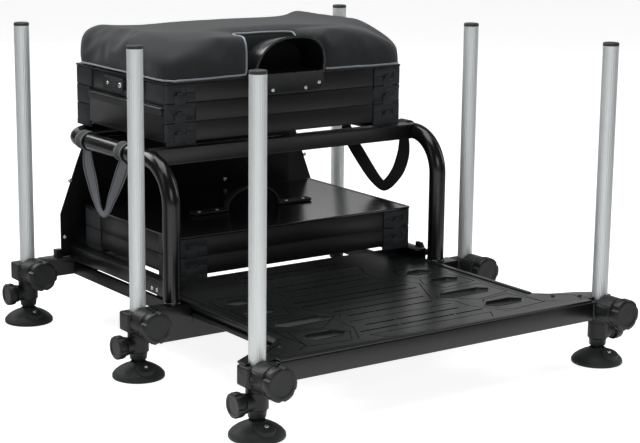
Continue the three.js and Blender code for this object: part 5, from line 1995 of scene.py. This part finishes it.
def pole_scoop():
    """A hood open to the front on a flat floor, with a flared rim and an apron below it."""
    low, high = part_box("pole_scoop")
    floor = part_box("cushion")[0].z
    front, back = low.y, high.y
    outer = hood(front - SCOOP_FLARE, back, floor)
    inner = hood(front - SCOOP_FLARE - SCOOP_OVERRUN, back - SCOOP_WALL, floor, SCOOP_WALL)
    under = block((-1, front - 0.1, floor - 0.2), (1, back + 0.1, floor))
    over_floor = block((-1, front - 0.1, floor - 0.2), (1, back + 0.1, floor + SCOOP_WALL))
    cut(inner, over_floor)
    cut(outer, under, inner)
    soften(outer, SCOOP_EDGE, 3, 50)
    left, right = SEAT_MIDDLE_X - APRON_HALF, SEAT_MIDDLE_X + APRON_HALF
    plate = block((left, front, low.z), (right, front + APRON_THICKNESS, floor + SCOOP_WALL))
    with shaping(plate):
        choose(plate, "EDGE", lambda at, run: abs(run.y) > MM and at.z < low.z + MM)
        bpy.ops.mesh.bevel(offset=APRON_ROUNDING, segments=8)
        choose(plate, "FACE", lambda at, normal: normal.y < -0.9)
        bpy.ops.mesh.inset(thickness=APRON_BORDER)
        bpy.ops.transform.translate(value=(0, APRON_DISH, 0))
    soften(plate, APRON_EDGE, 3, 30)
    return smooth(gather([outer, plate]), 40)


def scoop_lining():
    """A near-black sheet inside the hood, which paints the shade in its hollow."""
    low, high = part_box("pole_scoop")
    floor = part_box("cushion")[0].z
    front, back = low.y, high.y
    room = SCOOP_WALL + SHADE_SHEET_GAP
    shade_sheet = hood(front, back - room, floor, room)
    inner = hood(front - SCOOP_OVERRUN, back - room - MM, floor, room + MM)
    cut(shade_sheet, inner, block((-1, front - 0.1, floor - 0.2), (1, back + 0.1, floor + room)))
    return smooth(shade_sheet, 40)


class BuildScoop(bpy.types.Operator):
    """Makes the pole scoop, its apron and their screws"""

    bl_idname = "seat_box.scoop"
    bl_label = "Pole Scoop"

    def execute(self, context):
        body = body_of("pole_scoop")
        low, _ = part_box("pole_scoop")
        dress(pole_scoop(), "scoop_form", body, finish("scoop"), ["pole_scoop"])
        # a near-black sheet inside the hood paints the shade in its hollow
        dress(scoop_lining(), "scoop_lining", body, finish("throat"))
        places = [(SEAT_MIDDLE_X + x * MM, low.y + SCOOP_SCREW_SINK, low.z + z * MM) for x, z in SCOOP_SCREWS]
        screws("scoop_screws", body, places, "Y", "scoop", flip=True)
        return {"FINISHED"}


# The webbing straps

STRAP_WIDTH = 24 * MM
STRAP_THICKNESS = 1.8 * MM
# The webbing's middle surface stands this far off the tube. Its loops ripple by a little round it.
STRAP_LIFT = 1.4 * MM
LOOP_RIPPLE = 0.5 * MM
LOOP_STEPS = 40
WEB_STEPS = 90
WEB_BOW = 1.2 * MM


def band(length, steps, place):
    """A strip of webbing: place(share along, share across) gives each point of its middle surface."""
    deselect()
    bpy.ops.mesh.primitive_grid_add(x_subdivisions=4, y_subdivisions=steps, size=1)
    strip = settle(bpy.context.object)
    layer = strip.data.uv_layers.active
    layer.name = "strap"
    for corner in layer.data:
        corner.uv = (corner.uv.x, corner.uv.y * length)
    for point in strip.data.vertices:
        across, along = point.co.x + 0.5, point.co.y + 0.5
        point.co = place(along, across)
    take(strip)
    thick = strip.modifiers.new("thick", "SOLIDIFY")
    thick.thickness = STRAP_THICKNESS
    thick.offset = 0
    bpy.ops.object.modifier_apply(modifier=thick.name)
    return strip


# How each strap hangs between its loops, from the back one to the front one, as (y, z).
STRAP_LINES = {
    "left": [
        (274, 285), (262, 260), (250, 234), (238, 216), (224, 209),
        (210, 217), (196, 238), (175, 268), (154, 300),
    ],
    "right": [
        (258, 286), (220, 253), (192, 231), (172, 219), (156, 214),
        (142, 220), (124, 236), (110, 254), (99, 282),
    ],
}
# Share of the webbing's width that shows at the lowest point, where it is folded.
STRAP_FOLDED = {"left": 0.4, "right": 0.8}
STRAP_TWIST = math.radians(52)
# Each strap's side, the finish of its hanging web and the finish of its loops.
STRAP_FINISHES = [("left", "grey_webbing", "loop_webbing"), ("right", "black_webbing", "black_webbing")]


def strap_loops(side):
    """The two loops of a strap round the frame, and the length of webbing in them."""
    x = SIDES[side] * TUBE_HALF_TRACK
    low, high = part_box(f"strap_{side}")
    tube_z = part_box("seat_frame_tube")[1].z - TUBE_RADIUS
    ring = TUBE_RADIUS + STRAP_LIFT
    loops = []
    for y in (low.y + STRAP_WIDTH / 2, high.y - STRAP_WIDTH / 2):

        def loop(along, across, y=y):
            turn = 2 * math.pi * along
            reach = ring + LOOP_RIPPLE * math.sin(3 * turn)
            return (x + reach * math.sin(turn), y + (across - 0.5) * STRAP_WIDTH, tube_z - reach * math.cos(turn))

        loops.append(band(2 * math.pi * ring, LOOP_STEPS, loop))
    return smooth(gather(loops), 60), 4 * math.pi * ring


def hanging_strap(side):
    """The webbing that hangs between the loops, twisted to the front and folded at its lowest point."""
    x = SIDES[side] * TUBE_HALF_TRACK
    low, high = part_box(f"strap_{side}")
    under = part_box("seat_frame_tube")[1].z - 2 * TUBE_RADIUS - STRAP_LIFT
    ends = [(0, high.y - STRAP_WIDTH / 2, under), (0, low.y + STRAP_WIDTH / 2, under)]
    hung = [(0, depth(y), z * MM) for y, z in STRAP_LINES[side]]
    line = smooth_line([ends[0], *hung, ends[1]], 8)
    runs = [(b - a).length for a, b in zip(line, line[1:])]
    lowest = min(range(len(line)), key=lambda index: line[index].z) / (len(line) - 1)

    def place(along, across):
        spot = along * (len(line) - 1)
        index = min(int(spot), len(line) - 2)
        at = line[index].lerp(line[index + 1], spot - index)
        run = (line[min(index + 2, len(line) - 1)] - line[max(index - 1, 0)]).normalized()
        half_way = 0.5 * along / lowest if along < lowest else 0.5 + 0.5 * (along - lowest) / (1 - lowest)
        facing = math.cos(math.pi * half_way)
        ends_share = min(1, 4 * half_way, 4 * (1 - half_way))
        twist = STRAP_TWIST * abs(facing) * ends_share
        narrow = 1 - (1 - STRAP_FOLDED[side]) * math.sin(math.pi * half_way) ** 2
        reach = (across - 0.5) * STRAP_WIDTH * narrow
        bow = WEB_BOW * math.sin(math.pi * across) * facing
        flat = reach * math.cos(twist)
        sideways = -reach * math.sin(twist) * math.copysign(1, facing)
        return (x + sideways + bow, at.y - flat * run.z, at.z + flat * run.y)

    return smooth(band(sum(runs), WEB_STEPS, place), 60), sum(runs)


class BuildStraps(bpy.types.Operator):
    """Makes the two webbing straps that hang from the seat frame"""

    bl_idname = "seat_box.straps"
    bl_label = "Straps"

    def execute(self, context):
        for side, web, loop in STRAP_FINISHES:
            strap, length = hanging_strap(side)
            dress(strap, f"strap_{side}_web", "base", finish(web), [f"strap_{side}"])
            loops, turns = strap_loops(side)
            dress(loops, f"strap_{side}_loops", "base", finish(loop))
        return {"FINISHED"}


# Stage: camera, floor, lights

CAMERA_PLACE = (-1.6010, -2.2871, 0.8151)
CAMERA_YAW = 0.6178
CAMERA_PITCH = 0.215
CAMERA_ROLL = -0.0107
CAMERA_LENS = 98.03
FLOOR_RADIUS = 30
FLOOR_DROP = 0.5 * MM
WORLD_LIGHT = 0.1
# Soft lights as (name, place, target, size, power in watts).
LIGHTS = [
    ("top", (-0.2, 0.2, 2.9), (0, 0, 0.3), (2.6, 2.0), 56),
    ("back_left", (-1.0, 2.3, 2.1), (0, 0.1, 0.45), (2.2, 0.9), 30),
    ("behind", (-0.75, 1.8, 2.5), (0, 0.1, 0.46), (1.1, 0.7), 11),
    ("backdrop", (2.4, 3.3, 1.0), (0, 0.1, 0.3), (4.4, 2.0), 14),
    ("left", (-2.9, 0.2, 1.3), (0, 0.1, 0.4), (0.9, 1.8), 5),
    ("front", (-1.0, -3.2, 1.5), (0, 0, 0.3), (1.6, 1.2), 17),
    ("right", (2.8, -0.8, 1.4), (0, 0, 0.3), (0.9, 1.8), 12),
]


def photo_camera():
    forward = Vector(
        (
            math.sin(CAMERA_YAW) * math.cos(CAMERA_PITCH),
            math.cos(CAMERA_YAW) * math.cos(CAMERA_PITCH),
            -math.sin(CAMERA_PITCH),
        )
    )
    level = Vector((math.cos(CAMERA_YAW), -math.sin(CAMERA_YAW), 0))
    down = forward.cross(level)
    right = math.cos(CAMERA_ROLL) * level + math.sin(CAMERA_ROLL) * down
    down = -math.sin(CAMERA_ROLL) * level + math.cos(CAMERA_ROLL) * down
    deselect()
    bpy.ops.object.camera_add()
    camera = bpy.context.object
    camera.name = "photo_camera"
    camera.data.lens = CAMERA_LENS
    camera.data.sensor_width = 36
    camera.data.clip_end = 60
    turn = Matrix((right, -down, -forward)).transposed().to_4x4()
    camera.matrix_world = Matrix.Translation(CAMERA_PLACE) @ turn
    bpy.context.scene.camera = camera
    return camera


def soft_light(name, place, target, size, power):
    deselect()
    bpy.ops.object.light_add(type="AREA", location=place)
    light = bpy.context.object
    light.name = name
    light.data.shape = "RECTANGLE"
    light.data.size, light.data.size_y = size
    light.data.energy = power
    aim = Vector(target) - Vector(place)
    light.rotation_euler = aim.to_track_quat("-Z", "Y").to_euler()
    return light


def studio_world():
    """Faint even light all round, seen as white by the camera."""
    world = bpy.data.worlds.new("studio")
    bpy.context.scene.world = world
    world.use_nodes = True
    tree = world.node_tree
    background = tree.nodes["Background"]
    background.inputs["Color"].default_value = (1, 1, 1, 1)
    rays = tree.nodes.new("ShaderNodeLightPath")
    level = tree.nodes.new("ShaderNodeMapRange")
    level.inputs["To Min"].default_value = WORLD_LIGHT
    level.inputs["To Max"].default_value = 1.0
    tree.links.new(rays.outputs["Is Camera Ray"], level.inputs["Value"])
    tree.links.new(level.outputs["Result"], background.inputs["Strength"])


class BuildStage(bpy.types.Operator):
    """Sets up the pale floor, the soft studio light and the camera"""

    bl_idname = "seat_box.stage"
    bl_label = "Stage"

    def execute(self, context):
        context.scene.view_settings.view_transform = "Standard"
        deselect()
        bpy.ops.mesh.primitive_circle_add(
            vertices=64, radius=FLOOR_RADIUS, fill_type="NGON", location=(0, 0, -FLOOR_DROP)
        )
        floor = settle(bpy.context.object)
        floor.name = "floor"
        floor.data.materials.append(studio_floor("floor", FLOOR_COLOUR, FLOOR_GLOW))
        studio_world()
        for light in LIGHTS:
            soft_light(*light)
        photo_camera()
        return {"FINISHED"}


class SeatBoxPanel(bpy.types.Panel):
    """Lists the steps that dress the seat box"""

    bl_idname = "VIEW3D_PT_seat_box"
    bl_label = "Seat Box"
    bl_space_type = "VIEW_3D"
    bl_region_type = "UI"
    bl_category = "Seat Box"

    def draw(self, context):
        for group in (sizes(), colours()):
            for name in group.__annotations__:
                self.layout.prop(group, name)
        for step in STEPS:
            self.layout.operator(step.bl_idname)


STEPS = (
    BuildStage,
    BuildLegs,
    BuildCastings,
    BuildKnobs,
    BuildFeet,
    BuildFrameTube,
    BuildFrame,
    BuildBackPanel,
    BuildFootplate,
    BuildCassette,
    BuildHandle,
    BuildDrawerModule,
    BuildTopTray,
    BuildCushion,
    BuildScoop,
    BuildStraps,
)
GROUPS = {"seat_box_sizes": SeatBoxSizes, "seat_box_colours": SeatBoxColours}


def register():
    for name, group in GROUPS.items():
        bpy.utils.register_class(group)
        setattr(bpy.types.Scene, name, PointerProperty(type=group))
    for step in (*STEPS, SeatBoxPanel):
        bpy.utils.register_class(step)


def unregister():
    for step in reversed((*STEPS, SeatBoxPanel)):
        bpy.utils.unregister_class(step)
    for name, group in reversed(GROUPS.items()):
        delattr(bpy.types.Scene, name)
        bpy.utils.unregister_class(group)


def run_step(step):
    """Calls one operator, and stops the script if it doesn't finish."""
    group, name = step.bl_idname.split(".")
    result = getattr(getattr(bpy.ops, group), name)()
    if result != {"FINISHED"}:
        raise RuntimeError(f"{step.bl_label} didn't finish")


def main():
    register()
    for step in STEPS:
        run_step(step)


if __name__ == "__main__":
    main()
